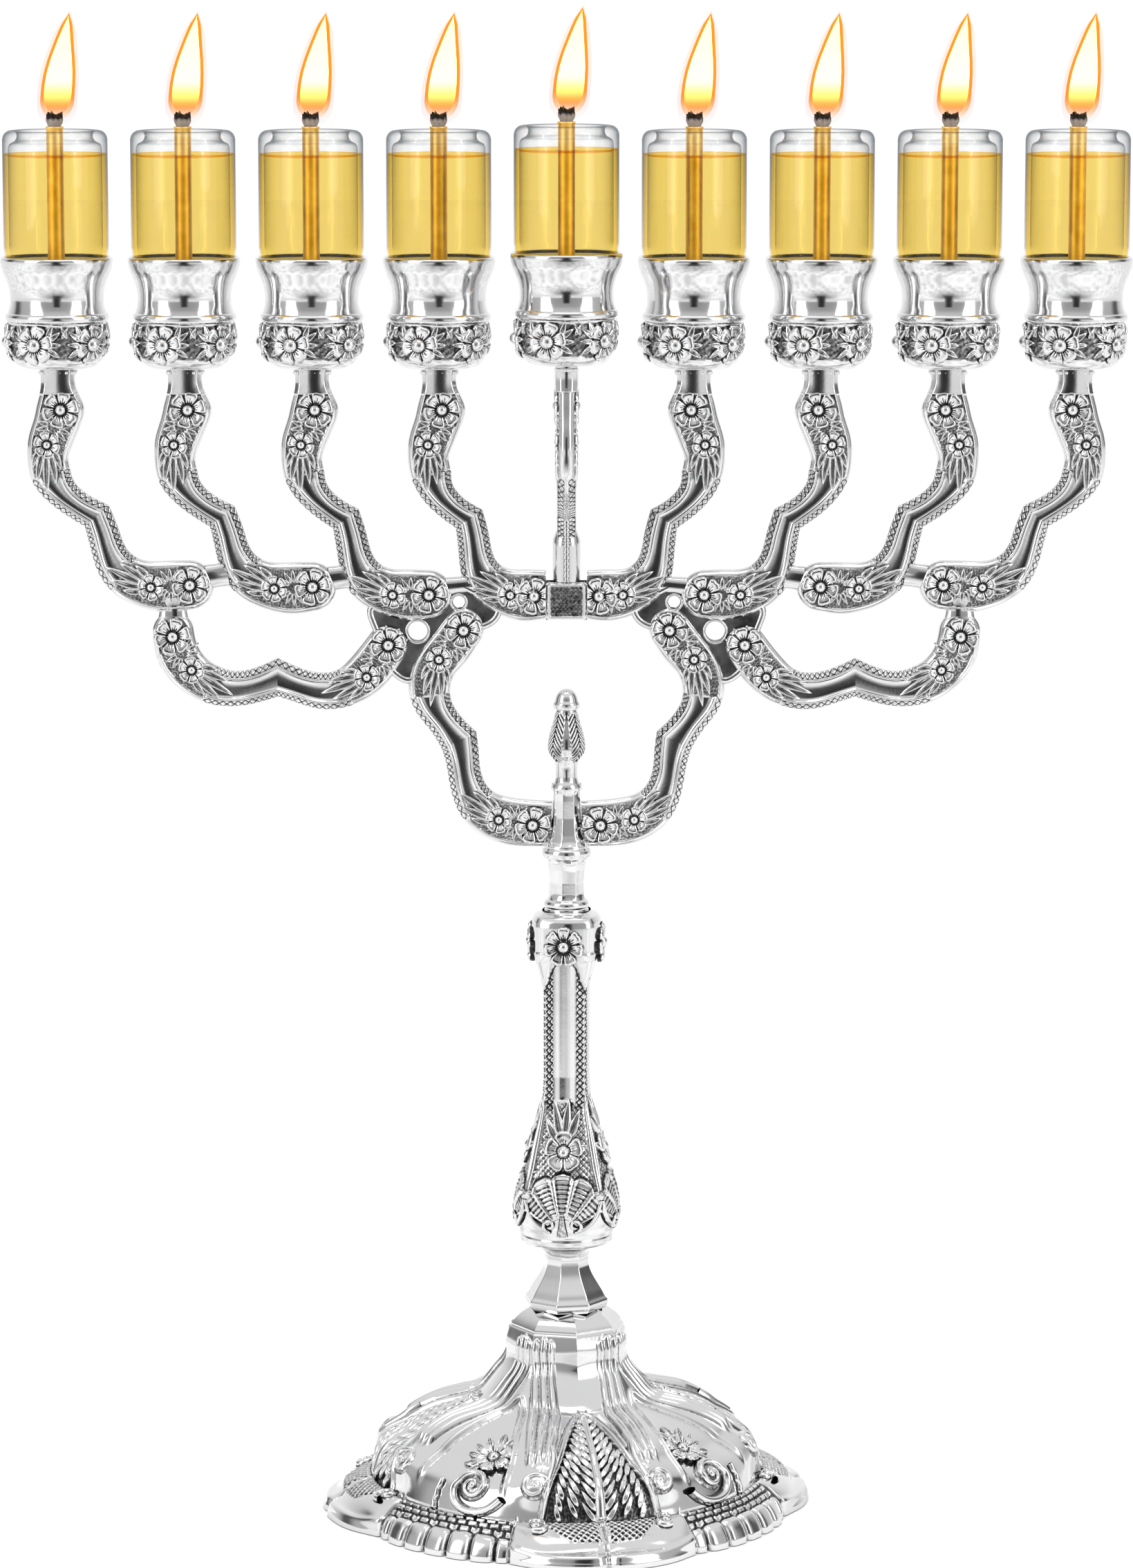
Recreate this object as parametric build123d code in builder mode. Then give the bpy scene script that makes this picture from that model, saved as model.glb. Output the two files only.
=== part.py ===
"""Nine-light oil menorah: a lobed base, a square stem, S-shaped arms brazed side by side, nine cups,
and a glass oil light standing in each cup.

Frame: millimetres, +Z up, origin at the middle of the base's underside. The arms lie in the XZ plane,
the front faces -Y, and the lights are numbered 1 to 9 from -X to +X. Light 5 is the shamash.
"""

import math
import os

from build123d import *

# ---------------------------------------------------------------- driving dimensions
LIGHT_PITCH = 29.7  # between neighbouring light axes
SHAMASH = 5  # the middle light, on its own plug-in arm
SHAMASH_RISE = 1.5  # how much higher the shamash cup stands than the others
SHAMASH_LEAD = 8.6  # how far the shamash post stands in front of the crossbar

CUP_BOTTOM = 273.3  # underside of the cups
CUP_FLOOR = 278.0  # inner floor, which the glass stands on
CUP_RIM = 299.3
POST_HALF_DEPTH = 2.4
POST_HALF_WIDTH = 4.05

RIM_HALF_DEPTH = 0.9  # an arm's full outline, measured from its mid-plane
PANEL_HALF_DEPTH = 2.1  # its raised middle panel
PANEL_INSET = 1.2  # how far the panel is set in from the outline
WEB_HALF_DEPTH = 1.2

GLASS_R = 12.2
GLASS_WALL = 1.3
GLASS_MOUTH_R = 8.8
GLASS_STUB_R = 9.3
GLASS_SHOULDER_LOW = 294.5
GLASS_SHOULDER_HIGH = 297.6
GLASS_TOP = 328.5
OIL_LEVEL = 322.4
WICK_TUBE_R = 1.95
WICK_TUBE_TOP = 329.3
WICK_R = 1.5
WICK_TOP = 332.3
FLAME_TOP = 355.4
FLAME_R = 4.1
FLAME_LEAN = 3.6  # sideways, from its foot to its tip
FIT_GAP = 0.02

ROD_R = 2.5
ROD_HOLE_R = 2.6
ROD_TOP = 171.0
ROD_FOOT = 24.0
SCREW_R = 1.5
SCREW_HEAD_R = 2.8
SCREW_FOOT = 265.5

STEM_HALF = 5.3  # half the square column's width
STEM_COLUMN = (95.0, 134.0)  # its lowest and highest level
STEM_TURN = -5.0  # degrees about the axis
BASE_TURN = 10.0

BLOCK_HALF_WIDTH = 4.9
BLOCK_HALF_DEPTH = 3.6
BLOCK_LEVELS = (214.2, 223.2)
TENON = (4.0, 4.0, 6.5)  # the shamash arm's plug: X, Y and Z

# An arm's centreline: distance from its post's axis, level, and half the arm's width there.
ARM_SPINE = [
    (0.0, 273.3, 4.05),
    (0.0, 268.6, 4.1),
    (0.5, 264.6, 5.5),
    (-0.5, 260.4, 5.4),
    (-2.0, 256.2, 5.2),
    (-2.6, 252.0, 4.8),
    (-1.9, 248.1, 4.7),
    (0.0, 244.8, 4.0),
    (3.3, 241.7, 3.5),
    (8.6, 238.6, 3.8),  # the kink
    (10.2, 234.0, 3.8),
    (11.4, 230.0, 4.05),
    (13.0, 226.8, 4.6),
    (16.4, 223.8, 5.2),
    (20.8, 222.3, 5.7),
    (25.5, 221.9, 6.1),
    (30.2, 222.3, 5.8),
]
ARM_KINK = 9
# How far an arm's lower end moves in and down from the spine above, for arms 1 to 4.
ARM_END_SHIFTS = [(0.0, 0.0), (-0.9, -0.4), (-3.3, -2.3), (-5.9, -2.3)]

LINK_SPINE = [
    (-92.5, 211.2, 4.9),
    (-91.6, 206.4, 5.1),
    (-88.6, 201.9, 4.9),
    (-83.4, 198.6, 4.6),
    (-78.2, 197.7, 4.2),
    (-73.4, 198.4, 4.05),
    (-68.0, 200.4, 4.6),  # the kink
    (-63.0, 198.4, 4.05),
    (-58.0, 197.2, 4.3),
    (-53.0, 197.7, 4.5),
    (-48.6, 200.2, 5.0),
    (-45.0, 203.9, 5.2),
    (-42.1, 208.0, 5.0),
]
LINK_KINK = 6

LOWER_ARM_SPINE = [
    (-24.3, 212.2, 5.0),
    (-27.8, 207.2, 5.2),
    (-31.2, 202.6, 5.1),
    (-32.3, 198.0, 5.0),
    (-31.3, 193.6, 4.4),
    (-28.7, 189.6, 3.9),
    (-25.4, 185.4, 4.6),  # the kink
    (-24.7, 181.6, 4.1),
    (-24.2, 178.0, 3.9),
    (-23.4, 174.5, 4.1),
    (-21.8, 171.0, 4.6),
    (-18.8, 168.1, 5.2),
    (-14.5, 166.3, 5.6),
    (-9.0, 165.6, 5.6),
    (-3.5, 165.5, 5.4),
]
LOWER_ARM_KINK = 6

# The shamash arm's centreline in the YZ plane, before SHAMASH_LEAD and SHAMASH_RISE.
SHAMASH_SPINE = ARM_SPINE[:10] + [(9.4, 233.6, 3.9), (9.4, 228.0, 3.9), (9.2, 221.7, 3.7)]

os.makedirs("parts", exist_ok=True)


# ---------------------------------------------------------------- helpers
def save(part, name):
    """Writes one named piece to its own file."""
    part.label = name
    export_step(part, f"parts/{name}.step")


def light_x(number):
    """The X of a light's axis, for lights 1 to 9."""
    return (number - SHAMASH) * LIGHT_PITCH


def turned(profile):
    """A solid of revolution about Z, from (radius, level) points joined by straight lines."""
    with BuildPart() as body:
        with BuildSketch(Plane.XZ):
            with BuildLine():
                Polyline(*profile, close=True)
            make_face()
        revolve(axis=Axis.Z)
    return body.part


def spine_sides(spine, inset=0.0):
    """The two edges of an arm, one point each side of every spine point."""
    sides = ([], [])
    for i, (x, z, half) in enumerate(spine):
        before = spine[max(i - 1, 0)]
        after = spine[min(i + 1, len(spine) - 1)]
        along = Vector(after[0] - before[0], after[1] - before[1]).normalized()
        for side, sign in zip(sides, (1, -1)):
            reach = sign * (half - inset)
            side.append((x - along.Y * reach, z + along.X * reach))
    return sides


def cap_middle(end, neighbour, inset):
    """The outermost point of a rounded end."""
    out = Vector(end[0] - neighbour[0], end[1] - neighbour[1]).normalized()
    reach = end[2] - inset
    return (end[0] + out.X * reach, end[1] + out.Y * reach)


def arm_outline(plane, spine, kink, round_start, round_end, inset=0.0):
    """An arm's closed outline. The kink is a sharp corner on both sides."""
    left, right = spine_sides(spine, inset)
    with BuildSketch(plane) as outline:
        with BuildLine():
            for side in (left, right):
                Spline(*side[: kink + 1])
                Spline(*side[kink:])
            if round_start:
                ThreePointArc(left[0], cap_middle(spine[0], spine[1], inset), right[0])
            else:
                Line(left[0], right[0])
            if round_end:
                ThreePointArc(left[-1], cap_middle(spine[-1], spine[-2], inset), right[-1])
            else:
                Line(left[-1], right[-1])
        make_face()
    return outline.sketch


def make_arm(spine, kink, round_start=False, round_end=True, plane=Plane.XZ):
    """An arm: a thin slab of the full outline, with a thicker panel set in from its edges."""
    with BuildPart() as arm:
        extrude(arm_outline(plane, spine, kink, round_start, round_end), amount=RIM_HALF_DEPTH, both=True)
        panel = arm_outline(plane, spine, kink, round_start, round_end, PANEL_INSET)
        extrude(panel, amount=PANEL_HALF_DEPTH, both=True)
    return arm.part


def block(low, high):
    """A box from its lowest to its highest corner."""
    size = [b - a for a, b in zip(low, high)]
    middle = tuple((a + b) / 2 for a, b in zip(low, high))
    with BuildPart() as box:
        with Locations(middle):
            Box(*size)
    return box.part


def rod(x, y, radius, low, high):
    """An upright cylinder."""
    with BuildPart() as cylinder:
        with BuildSketch(Plane.XY.offset(low)):
            with Locations((x, y)):
                Circle(radius)
        extrude(amount=high - low)
    return cylinder.part


def other_side(part):
    """The same piece on the +X side."""
    return mirror(part, about=Plane.YZ)


# ---------------------------------------------------------------- base, stem and hub
def make_base():
    """A hollow dome that spreads into a foot of eight lobes."""
    outer = [
        (ROD_HOLE_R, 48.3),
        (8.8, 48.3),
        (11.2, 46.8),
        (12.9, 44.6),
        (13.5, 42.0),
        (13.9, 38.5),
        (15.0, 35.0),
        (17.5, 32.2),
        (21.5, 29.8),
        (27.0, 27.4),
        (33.0, 24.9),
        (38.5, 21.4),
        (42.3, 17.3),
        (44.7, 13.0),
        (46.0, 8.6),
        (50.5, 7.2),
        (54.5, 5.0),
        (57.8, 2.4),
        (60.0, 1.0),
        (60.0, 0.0),
    ]
    inner = [
        (50.0, 0.0),
        (50.0, 3.0),
        (44.2, 6.0),
        (42.6, 12.0),
        (40.0, 16.4),
        (36.8, 19.6),
        (32.0, 22.6),
        (26.0, 25.2),
        (20.4, 27.6),
        (10.5, 33.0),
        (10.5, 36.0),
        (ROD_HOLE_R, 36.0),
    ]
    big_lobe, small_lobe, valley = 58.6, 54.4, 52.6
    valley_angle = 25.0  # either side of a big lobe's middle
    with BuildPart() as base:
        with BuildSketch(Plane.XZ):
            with BuildLine():
                Polyline(*outer, *inner, close=True)
            make_face()
        revolve(axis=Axis.Z)
        with BuildSketch(Plane.XY):
            with BuildLine():
                for quarter in range(4):
                    middle = BASE_TURN + 90 * quarter
                    ends = [polar(valley, middle + s * valley_angle) for s in (-1, 1)]
                    following = polar(valley, middle + 90 - valley_angle)
                    ThreePointArc(ends[0], polar(big_lobe, middle), ends[1])
                    ThreePointArc(ends[1], polar(small_lobe, middle + 45), following)
            make_face()
        extrude(amount=60.0, mode=Mode.INTERSECT)
    return base.part


def polar(radius, degrees):
    """A point in the XY plane."""
    angle = math.radians(degrees)
    return (radius * math.cos(angle), radius * math.sin(angle))


def make_felt_pad():
    """The felt disc that closes the base and lies level with its rim."""
    return rod(0, 0, 50.0 - FIT_GAP, 0.0, 2.0)


def make_knop():
    """The eight-sided neck between base and stem."""
    sections = [(48.3, 9.0), (50.4, 9.6), (54.5, 7.2), (58.0, 5.3), (61.5, 5.2), (63.6, 7.6), (64.6, 9.4)]
    with BuildPart() as knop:
        for level, apothem in sections:
            with BuildSketch(Plane.XY.offset(level)):
                RegularPolygon(apothem, 8, major_radius=False, rotation=BASE_TURN + 22.5)
        loft(ruled=True)
        with BuildSketch(Plane.XY.offset(48.3)):
            Circle(ROD_HOLE_R)
        extrude(amount=64.6 - 48.3, mode=Mode.SUBTRACT)
    return knop.part


def make_stem():
    """A ringed bulb, a square column and a rounded square collar, in one casting."""
    bulb = [(0, 64.6), (10.4, 64.6), (11.1, 65.4), (11.1, 66.4), (11.0, 67.2), (12.4, 71.5), (12.5, 75.0)]
    bulb += [(11.6, 79.5), (9.9, 85.0), (8.4, 90.0), (7.2, 95.0), (6.4, 101.0), (0, 101.0)]
    with BuildPart() as stem:
        with BuildSketch(Plane.XZ):
            with BuildLine():
                Polyline(*bulb, close=True)
            make_face()
        revolve(axis=Axis.Z)
        with BuildSketch(Plane.XY.offset(STEM_COLUMN[0])):
            RectangleRounded(2 * STEM_HALF, 2 * STEM_HALF, 1.2, rotation=STEM_TURN)
        extrude(amount=STEM_COLUMN[1] - STEM_COLUMN[0])
        for level, half, corner in ((126.0, 5.4, 1.2), (131.0, 7.4, 2.6), (134.5, 8.2, 3.4)):
            with BuildSketch(Plane.XY.offset(level)):
                RectangleRounded(2 * half, 2 * half, corner, rotation=STEM_TURN)
        loft(ruled=True)
        with BuildSketch(Plane.XY.offset(134.5)):
            RectangleRounded(16.4, 16.4, 3.4, rotation=STEM_TURN)
        extrude(amount=7.5)
        for level, half, corner in ((142.0, 8.2, 3.4), (143.8, 7.2, 3.4), (144.8, 5.4, 3.0)):
            with BuildSketch(Plane.XY.offset(level)):
                RectangleRounded(2 * half, 2 * half, corner, rotation=STEM_TURN)
        loft(ruled=True)
        with BuildSketch(Plane.XY.offset(64.6)):
            Circle(ROD_HOLE_R)
        extrude(amount=144.8 - 64.6, mode=Mode.SUBTRACT)
    return stem.part


def make_hub():
    """The socket that the lower arms are brazed to, screwed down on the tie rod."""
    profile = [
        (0, 175.0),
        (3.4, 175.0),
        (3.6, 173.6),
        (3.4, 171.0),
        (3.5, 166.0),
        (4.0, 162.5),
        (5.2, 160.2),
        (5.8, 159.0),
        (5.7, 157.2),
        (4.7, 155.2),
        (4.2, 152.0),
        (4.4, 147.4),
        (5.3, 146.6),
        (5.3, 144.8),
        (ROD_R, 144.8),
        (ROD_R, ROD_TOP),
        (0, ROD_TOP),
    ]
    return turned(profile)


def make_finial():
    """The spear-shaped finial, with a peg that screws into the hub's top."""
    shaft = [(0, 175.0), (2.9, 175.0), (2.5, 178.2), (2.7, 180.2), (4.2, 182.2), (4.5, 184.0), (3.7, 187.6)]
    shaft += [(2.7, 191.0), (2.4, 192.8), (3.0, 193.3), (3.0, 194.4), (2.7, 195.6), (1.6, 197.2), (0, 197.7)]
    return turned(shaft)


def make_rod_nut():
    """The washer and hexagon nut that pull the base up under the stem."""
    with BuildPart() as nut:
        with BuildSketch(Plane.XY.offset(34.8)):
            Circle(8.0)
            Circle(ROD_R, mode=Mode.SUBTRACT)
        extrude(amount=1.2)
        with BuildSketch(Plane.XY.offset(30.3)):
            RegularPolygon(4.0, 6, major_radius=False)
            Circle(ROD_R, mode=Mode.SUBTRACT)
        extrude(amount=4.5)
    return nut.part


# ---------------------------------------------------------------- arms
def arm_spine(number):
    """The spine of arms 1 to 4, placed at its light. Below the kink it shifts towards its own lower end."""
    shift_x, shift_z = ARM_END_SHIFTS[number - 1]
    last = len(ARM_SPINE) - 1
    spine = []
    for i, (x, z, half) in enumerate(ARM_SPINE):
        share = max(0.0, (i - ARM_KINK + 3) / (last - ARM_KINK + 3))
        spine.append((light_x(number) + x + shift_x * share, z + shift_z * share, half))
    return spine


def screw_hole(x, y, rise=0.0):
    """The room for a cup's screw in its post."""
    return rod(x, y, SCREW_R, SCREW_FOOT + rise, CUP_BOTTOM + rise)


def make_left_arms():
    """Arms 1 to 4, each with the short bar that brazes it to the next, and the last one cut at the block."""
    bare = [make_arm(arm_spine(number), ARM_KINK) for number in range(1, 5)]
    arms = []
    for number, arm in enumerate(bare, 1):
        if number < 4:
            end_x, end_z, _ = arm_spine(number)[-1]
            bar = block((end_x, -1.6, end_z - 1.0), (end_x + 9.0, 1.6, end_z + 5.0))
            arm = (arm + bar) - bare[number]
        else:
            arm = arm - block((-BLOCK_HALF_WIDTH, -9, 200), (20, 9, 240))
        arms.append(arm - screw_hole(light_x(number), 0))
    return arms


def make_link(arms):
    """The shallow kinked link that hangs under arm 1 and reaches the lower arm."""
    neck = block((-96.2, -1.8, 213.0), (-88.9, 1.8, 218.5))
    return (make_arm(LINK_SPINE, LINK_KINK, round_start=True) + neck) - arms[0] - arms[2]


def make_web():
    """The thin web that joins the lower arm, the link and arms 3 and 4, with its two round holes."""
    corners = [
        (-46.0, 216.5),
        (-44.6, 211.5),
        (-39.3, 200.6),
        (-37.4, 199.8),
        (-33.0, 205.0),
        (-20.0, 212.5),
        (-17.0, 214.2),
        (-16.0, 216.5),
        (-21.0, 222.0),
        (-27.5, 225.0),
        (-31.0, 221.0),
        (-38.0, 217.5),
    ]
    with BuildPart() as web:
        with BuildSketch(Plane.XZ):
            with BuildLine():
                Polyline(*corners, close=True)
            make_face()
            with Locations((-35.0, 211.4)):
                Circle(2.35, mode=Mode.SUBTRACT)
            with Locations((-25.3, 218.3)):
                Circle(1.5, mode=Mode.SUBTRACT)
        extrude(amount=WEB_HALF_DEPTH, both=True)
    return web.part


def make_lower_arm(hub, arms, link):
    """The arm that carries one half of the lights, from the hub up to the web."""
    arm = make_arm(LOWER_ARM_SPINE, LOWER_ARM_KINK, round_start=True, round_end=False)
    joined = (arm + make_web()) - hub - rod(0, 0, 3.3, 140, 180)
    for neighbour in (arms[2], arms[3], link):
        joined = joined - neighbour
    holes = [(-35.0, 211.4, 2.35), (-25.3, 218.3, 1.5)]
    for x, z, radius in holes:
        with BuildPart() as drill:
            with BuildSketch(Plane.XZ):
                with Locations((x, z)):
                    Circle(radius)
            extrude(amount=9, both=True)
        joined = joined - drill.part
    return joined


def make_center_block():
    """The square block in the crossbar, with the socket that the shamash arm plugs into."""
    low, high = BLOCK_LEVELS
    solid = block((-BLOCK_HALF_WIDTH, -BLOCK_HALF_DEPTH, low), (BLOCK_HALF_WIDTH, BLOCK_HALF_DEPTH, high))
    half_x, half_y = TENON[0] / 2 + 0.1, TENON[1] / 2 + 0.1
    socket = block((-half_x, 0.8 - half_y, high - TENON[2] - 0.3), (half_x, 0.8 + half_y, high + 1))
    return solid - socket


def make_shamash_arm():
    """The plug-in arm: the same S turned edge-on, with a boss and a tenon at its foot."""
    spine = [(y - SHAMASH_LEAD, z + SHAMASH_RISE, half) for y, z, half in SHAMASH_SPINE]
    arm = make_arm(spine, ARM_KINK, round_end=False, plane=Plane.YZ)
    foot = BLOCK_LEVELS[1]
    with BuildPart() as boss:
        with Locations((0, 0.8, foot + 6.2)):
            Box(6.6, 7.2, 12.4)
        fillet(boss.edges().filter_by(Axis.Y).group_by(Axis.Z)[-1], 1.5)
        with Locations((0, 0.8, foot - TENON[2] / 2)):
            Box(*TENON)
    trimmed = arm - block((-9, -20, 200), (9, 20, foot))
    return (trimmed + boss.part) - screw_hole(0, -SHAMASH_LEAD, SHAMASH_RISE)


# ---------------------------------------------------------------- cups and lights
def cup_profile():
    """Half of a cup's wall, outside from the bottom up and inside back down, as (radius, level)."""
    outside = [
        (SCREW_R, 273.3),
        (7.0, 273.3),
        (9.3, 274.2),
        (10.7, 276.0),
        (11.3, 278.4),
        (11.4, 284.2),
        (11.9, 285.0),
        (11.9, 286.0),
        (11.1, 288.0),
        (10.9, 290.2),
        (11.5, 292.9),
        (12.4, 295.2),
        (13.0, 297.4),
        (13.1, 298.6),
        (12.8, CUP_RIM),
    ]
    inside = [
        (12.5, CUP_RIM),
        (12.35, 297.2),
        (11.6, 295.2),
        (10.5, 292.6),
        (9.9, 290.2),
        (9.9, CUP_FLOOR),
        (SCREW_HEAD_R, CUP_FLOOR),
        (SCREW_HEAD_R, 276.0),
        (SCREW_R, 276.0),
    ]
    return outside + inside


def make_cup_screw(x, y, rise=0.0):
    """The countersunk screw that holds a cup down on its post."""
    head = rod(x, y, SCREW_HEAD_R, 276.0 + rise, CUP_FLOOR - 0.2 + rise)
    return head + rod(x, y, SCREW_R, SCREW_FOOT + rise, 276.0 + rise)


def make_glass():
    """The thick-walled oil glass: a straight body with a turned-in lip, on a stub that drops into the cup."""
    bore = GLASS_R - GLASS_WALL
    stub_bore = GLASS_STUB_R - GLASS_WALL
    profile = [
        (0, CUP_FLOOR),
        (GLASS_STUB_R - 0.6, CUP_FLOOR),
        (GLASS_STUB_R, CUP_FLOOR + 0.8),
        (GLASS_STUB_R, GLASS_SHOULDER_LOW),
        (GLASS_R, GLASS_SHOULDER_HIGH),
        (GLASS_R, GLASS_TOP - 2.2),
        (GLASS_R - 0.5, GLASS_TOP - 0.8),
        (GLASS_R - 1.8, GLASS_TOP),
        (GLASS_MOUTH_R + 0.8, GLASS_TOP),
        (GLASS_MOUTH_R, GLASS_TOP - 0.8),
        (GLASS_MOUTH_R, GLASS_TOP - 1.8),
        (bore, GLASS_TOP - 3.6),
        (bore, GLASS_SHOULDER_HIGH + 1.2),
        (stub_bore, GLASS_SHOULDER_LOW + 1.6),
        (stub_bore, CUP_FLOOR + 2.0),
        (0, CUP_FLOOR + 2.0),
    ]
    return turned(profile)


def make_oil():
    """The gelled oil that fills the glass around the wick's tube."""
    bore = GLASS_R - GLASS_WALL - FIT_GAP
    stub_bore = GLASS_STUB_R - GLASS_WALL - FIT_GAP
    tube = WICK_TUBE_R + FIT_GAP
    profile = [
        (tube, CUP_FLOOR + 2.0),
        (stub_bore, CUP_FLOOR + 2.0),
        (stub_bore, GLASS_SHOULDER_LOW + 1.6),
        (bore, GLASS_SHOULDER_HIGH + 1.2),
        (bore, OIL_LEVEL),
        (tube, OIL_LEVEL),
    ]
    return turned(profile)


def make_lit_wick():
    """The wick's tube, the cotton wick in it, and above them the solid that stands for the flame."""
    low = CUP_FLOOR + 2.0
    with BuildPart() as wick:
        with BuildSketch(Plane.XY.offset(low)):
            Circle(WICK_TUBE_R)
            Circle(WICK_R + FIT_GAP, mode=Mode.SUBTRACT)
        extrude(amount=WICK_TUBE_TOP - low)
    strand = rod(0, 0, WICK_R, low, WICK_TOP)
    sections = [(0.0, 0.45), (0.12, 0.86), (0.26, 1.0), (0.5, 0.82), (0.75, 0.5), (1.0, 0.1)]
    with BuildPart() as flame:
        for share, width in sections:
            level = WICK_TOP + FIT_GAP + share * (FLAME_TOP - WICK_TOP)
            with BuildSketch(Plane.XY.offset(level)):
                with Locations((FLAME_LEAN * share**1.5, 0)):
                    Circle(FLAME_R * width)
        loft(ruled=True)
    return [wick.part, strand, flame.part]


# ---------------------------------------------------------------- the whole object
def build():
    save(make_base(), "base")
    save(make_felt_pad(), "felt_pad")
    save(make_knop(), "knop")
    save(make_stem(), "stem")
    hub = make_hub()
    save(hub, "hub")
    save(make_finial(), "finial")
    save(rod(0, 0, ROD_R, ROD_FOOT, ROD_TOP), "tie_rod")
    save(make_rod_nut(), "rod_nut")

    arms = make_left_arms()
    for number, arm in enumerate(arms, 1):
        save(arm, f"arm_{number}")
        save(other_side(arm), f"arm_{9 - number}")
    link = make_link(arms)
    lower_arm = make_lower_arm(hub, arms, link)
    for part, name in ((link, "link"), (lower_arm, "lower_arm")):
        save(part, f"{name}_left")
        save(other_side(part), f"{name}_right")
    save(make_center_block(), "center_block")
    save(make_shamash_arm(), "shamash_arm")

    cup, glass, oil, lit_wick = turned(cup_profile()), make_glass(), make_oil(), make_lit_wick()
    screws = []
    for number in range(1, 10):
        if number == SHAMASH:
            place = Location((0, -SHAMASH_LEAD, SHAMASH_RISE))
            save(make_cup_screw(0, -SHAMASH_LEAD, SHAMASH_RISE), "shamash_screw")
        else:
            place = Location((light_x(number), 0, 0))
            screws.append(make_cup_screw(light_x(number), 0))
        for piece, name in ((cup, "cup"), (glass, "glass"), (oil, "oil")):
            save(piece.moved(place), f"{name}_{number}")
        save(Compound(children=[piece.moved(place) for piece in lit_wick]), f"lit_wick_{number}")
    save(Compound(children=screws), "cup_screws")


build()
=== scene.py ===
"""Looks for the nine-light menorah: cast and chased silver plate, clear oil glasses and small flames.

Lengths are in millimetres until a piece is made, and the frame's metres after that. The ornament is
drawn in flat local coordinates, across, up and out of a surface, and then laid onto an arm, a face of
the stem, a cup or the base by that surface's own map. Every silver mesh has a point attribute called
tarnish, 0 where the plate is bright and 1 in the oxidised recesses.
"""

import math

import bpy
import numpy as np
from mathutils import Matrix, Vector


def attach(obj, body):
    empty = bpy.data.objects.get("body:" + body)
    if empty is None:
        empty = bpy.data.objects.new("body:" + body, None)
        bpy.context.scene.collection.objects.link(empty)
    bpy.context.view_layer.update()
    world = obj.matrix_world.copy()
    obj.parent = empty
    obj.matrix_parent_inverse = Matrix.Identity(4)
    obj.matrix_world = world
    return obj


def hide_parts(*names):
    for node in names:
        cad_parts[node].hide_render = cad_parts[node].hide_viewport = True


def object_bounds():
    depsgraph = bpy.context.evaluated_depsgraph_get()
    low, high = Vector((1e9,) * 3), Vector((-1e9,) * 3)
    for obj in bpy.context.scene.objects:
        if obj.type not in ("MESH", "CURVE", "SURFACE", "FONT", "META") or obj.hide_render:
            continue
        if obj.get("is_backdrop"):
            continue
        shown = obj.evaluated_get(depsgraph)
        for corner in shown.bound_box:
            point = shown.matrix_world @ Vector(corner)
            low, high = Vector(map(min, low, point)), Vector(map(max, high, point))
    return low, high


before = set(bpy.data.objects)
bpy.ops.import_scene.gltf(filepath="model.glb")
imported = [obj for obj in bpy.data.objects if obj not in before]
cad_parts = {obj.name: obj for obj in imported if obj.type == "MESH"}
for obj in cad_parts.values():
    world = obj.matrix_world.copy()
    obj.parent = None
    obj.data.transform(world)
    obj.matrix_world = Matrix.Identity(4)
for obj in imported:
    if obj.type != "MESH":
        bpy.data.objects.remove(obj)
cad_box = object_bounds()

MM = 0.001
LIGHT_PITCH = 29.7
SHAMASH = 5
SHAMASH_LEAD = 8.6
SHAMASH_RISE = 1.5
BASE_TURN = 10.0
STEM_TURN = -5.0


# ---------------------------------------------------------------- small mathematics
def smooth(low, high, x):
    """Rises smoothly from 0 at low to 1 at high."""
    t = np.clip((x - low) / (high - low), 0.0, 1.0)
    return t * t * (3 - 2 * t)


def bell(x, middle, width):
    """A bump of height 1 at middle."""
    return np.exp(-(((x - middle) / width) ** 2))


def to_line(x):
    """The distance from x to the nearest whole number."""
    return np.abs(x - np.round(x))


def hatch(x, y, pitch, width):
    """1 on the two families of crossing diagonal lines, 0 between them."""
    one = to_line((x + y) / pitch) * pitch
    other = to_line((x - y) / pitch) * pitch
    return np.exp(-((np.minimum(one, other) / width) ** 2))


def all_round(count):
    """Evenly spaced angles round a circle."""
    return np.linspace(0, 2 * np.pi, count, endpoint=False)


def unit(degrees):
    """The flat vector of length 1 at an angle in degrees."""
    return np.array([math.cos(math.radians(degrees)), math.sin(math.radians(degrees))])


def lengths_along(points):
    """How far each point of a line lies from its start."""
    return np.concatenate([[0], np.cumsum(np.linalg.norm(np.diff(points, axis=0), axis=1))])


def through(knots, at):
    """A natural cubic spline through (n, k) knots, read at fractional knot numbers."""
    knots = np.asarray(knots, float)
    n = len(knots)
    t = lengths_along(knots)
    h = np.diff(t)
    matrix, side = np.eye(n), np.zeros_like(knots)
    for i in range(1, n - 1):
        matrix[i, i - 1 : i + 2] = h[i - 1], 2 * (h[i - 1] + h[i]), h[i]
        side[i] = 6 * ((knots[i + 1] - knots[i]) / h[i] - (knots[i] - knots[i - 1]) / h[i - 1])
    bend = np.linalg.solve(matrix, side)
    x = np.interp(at, np.arange(n), t)
    i = np.clip(np.searchsorted(t, x) - 1, 0, n - 2)
    a, b, step = (t[i + 1] - x)[:, None], (x - t[i])[:, None], h[i][:, None]
    bent = (bend[i] * a**3 + bend[i + 1] * b**3) / (6 * step)
    before = (knots[i] / step - bend[i] * step / 6) * a
    return bent + before + (knots[i + 1] / step - bend[i + 1] * step / 6) * b


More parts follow.
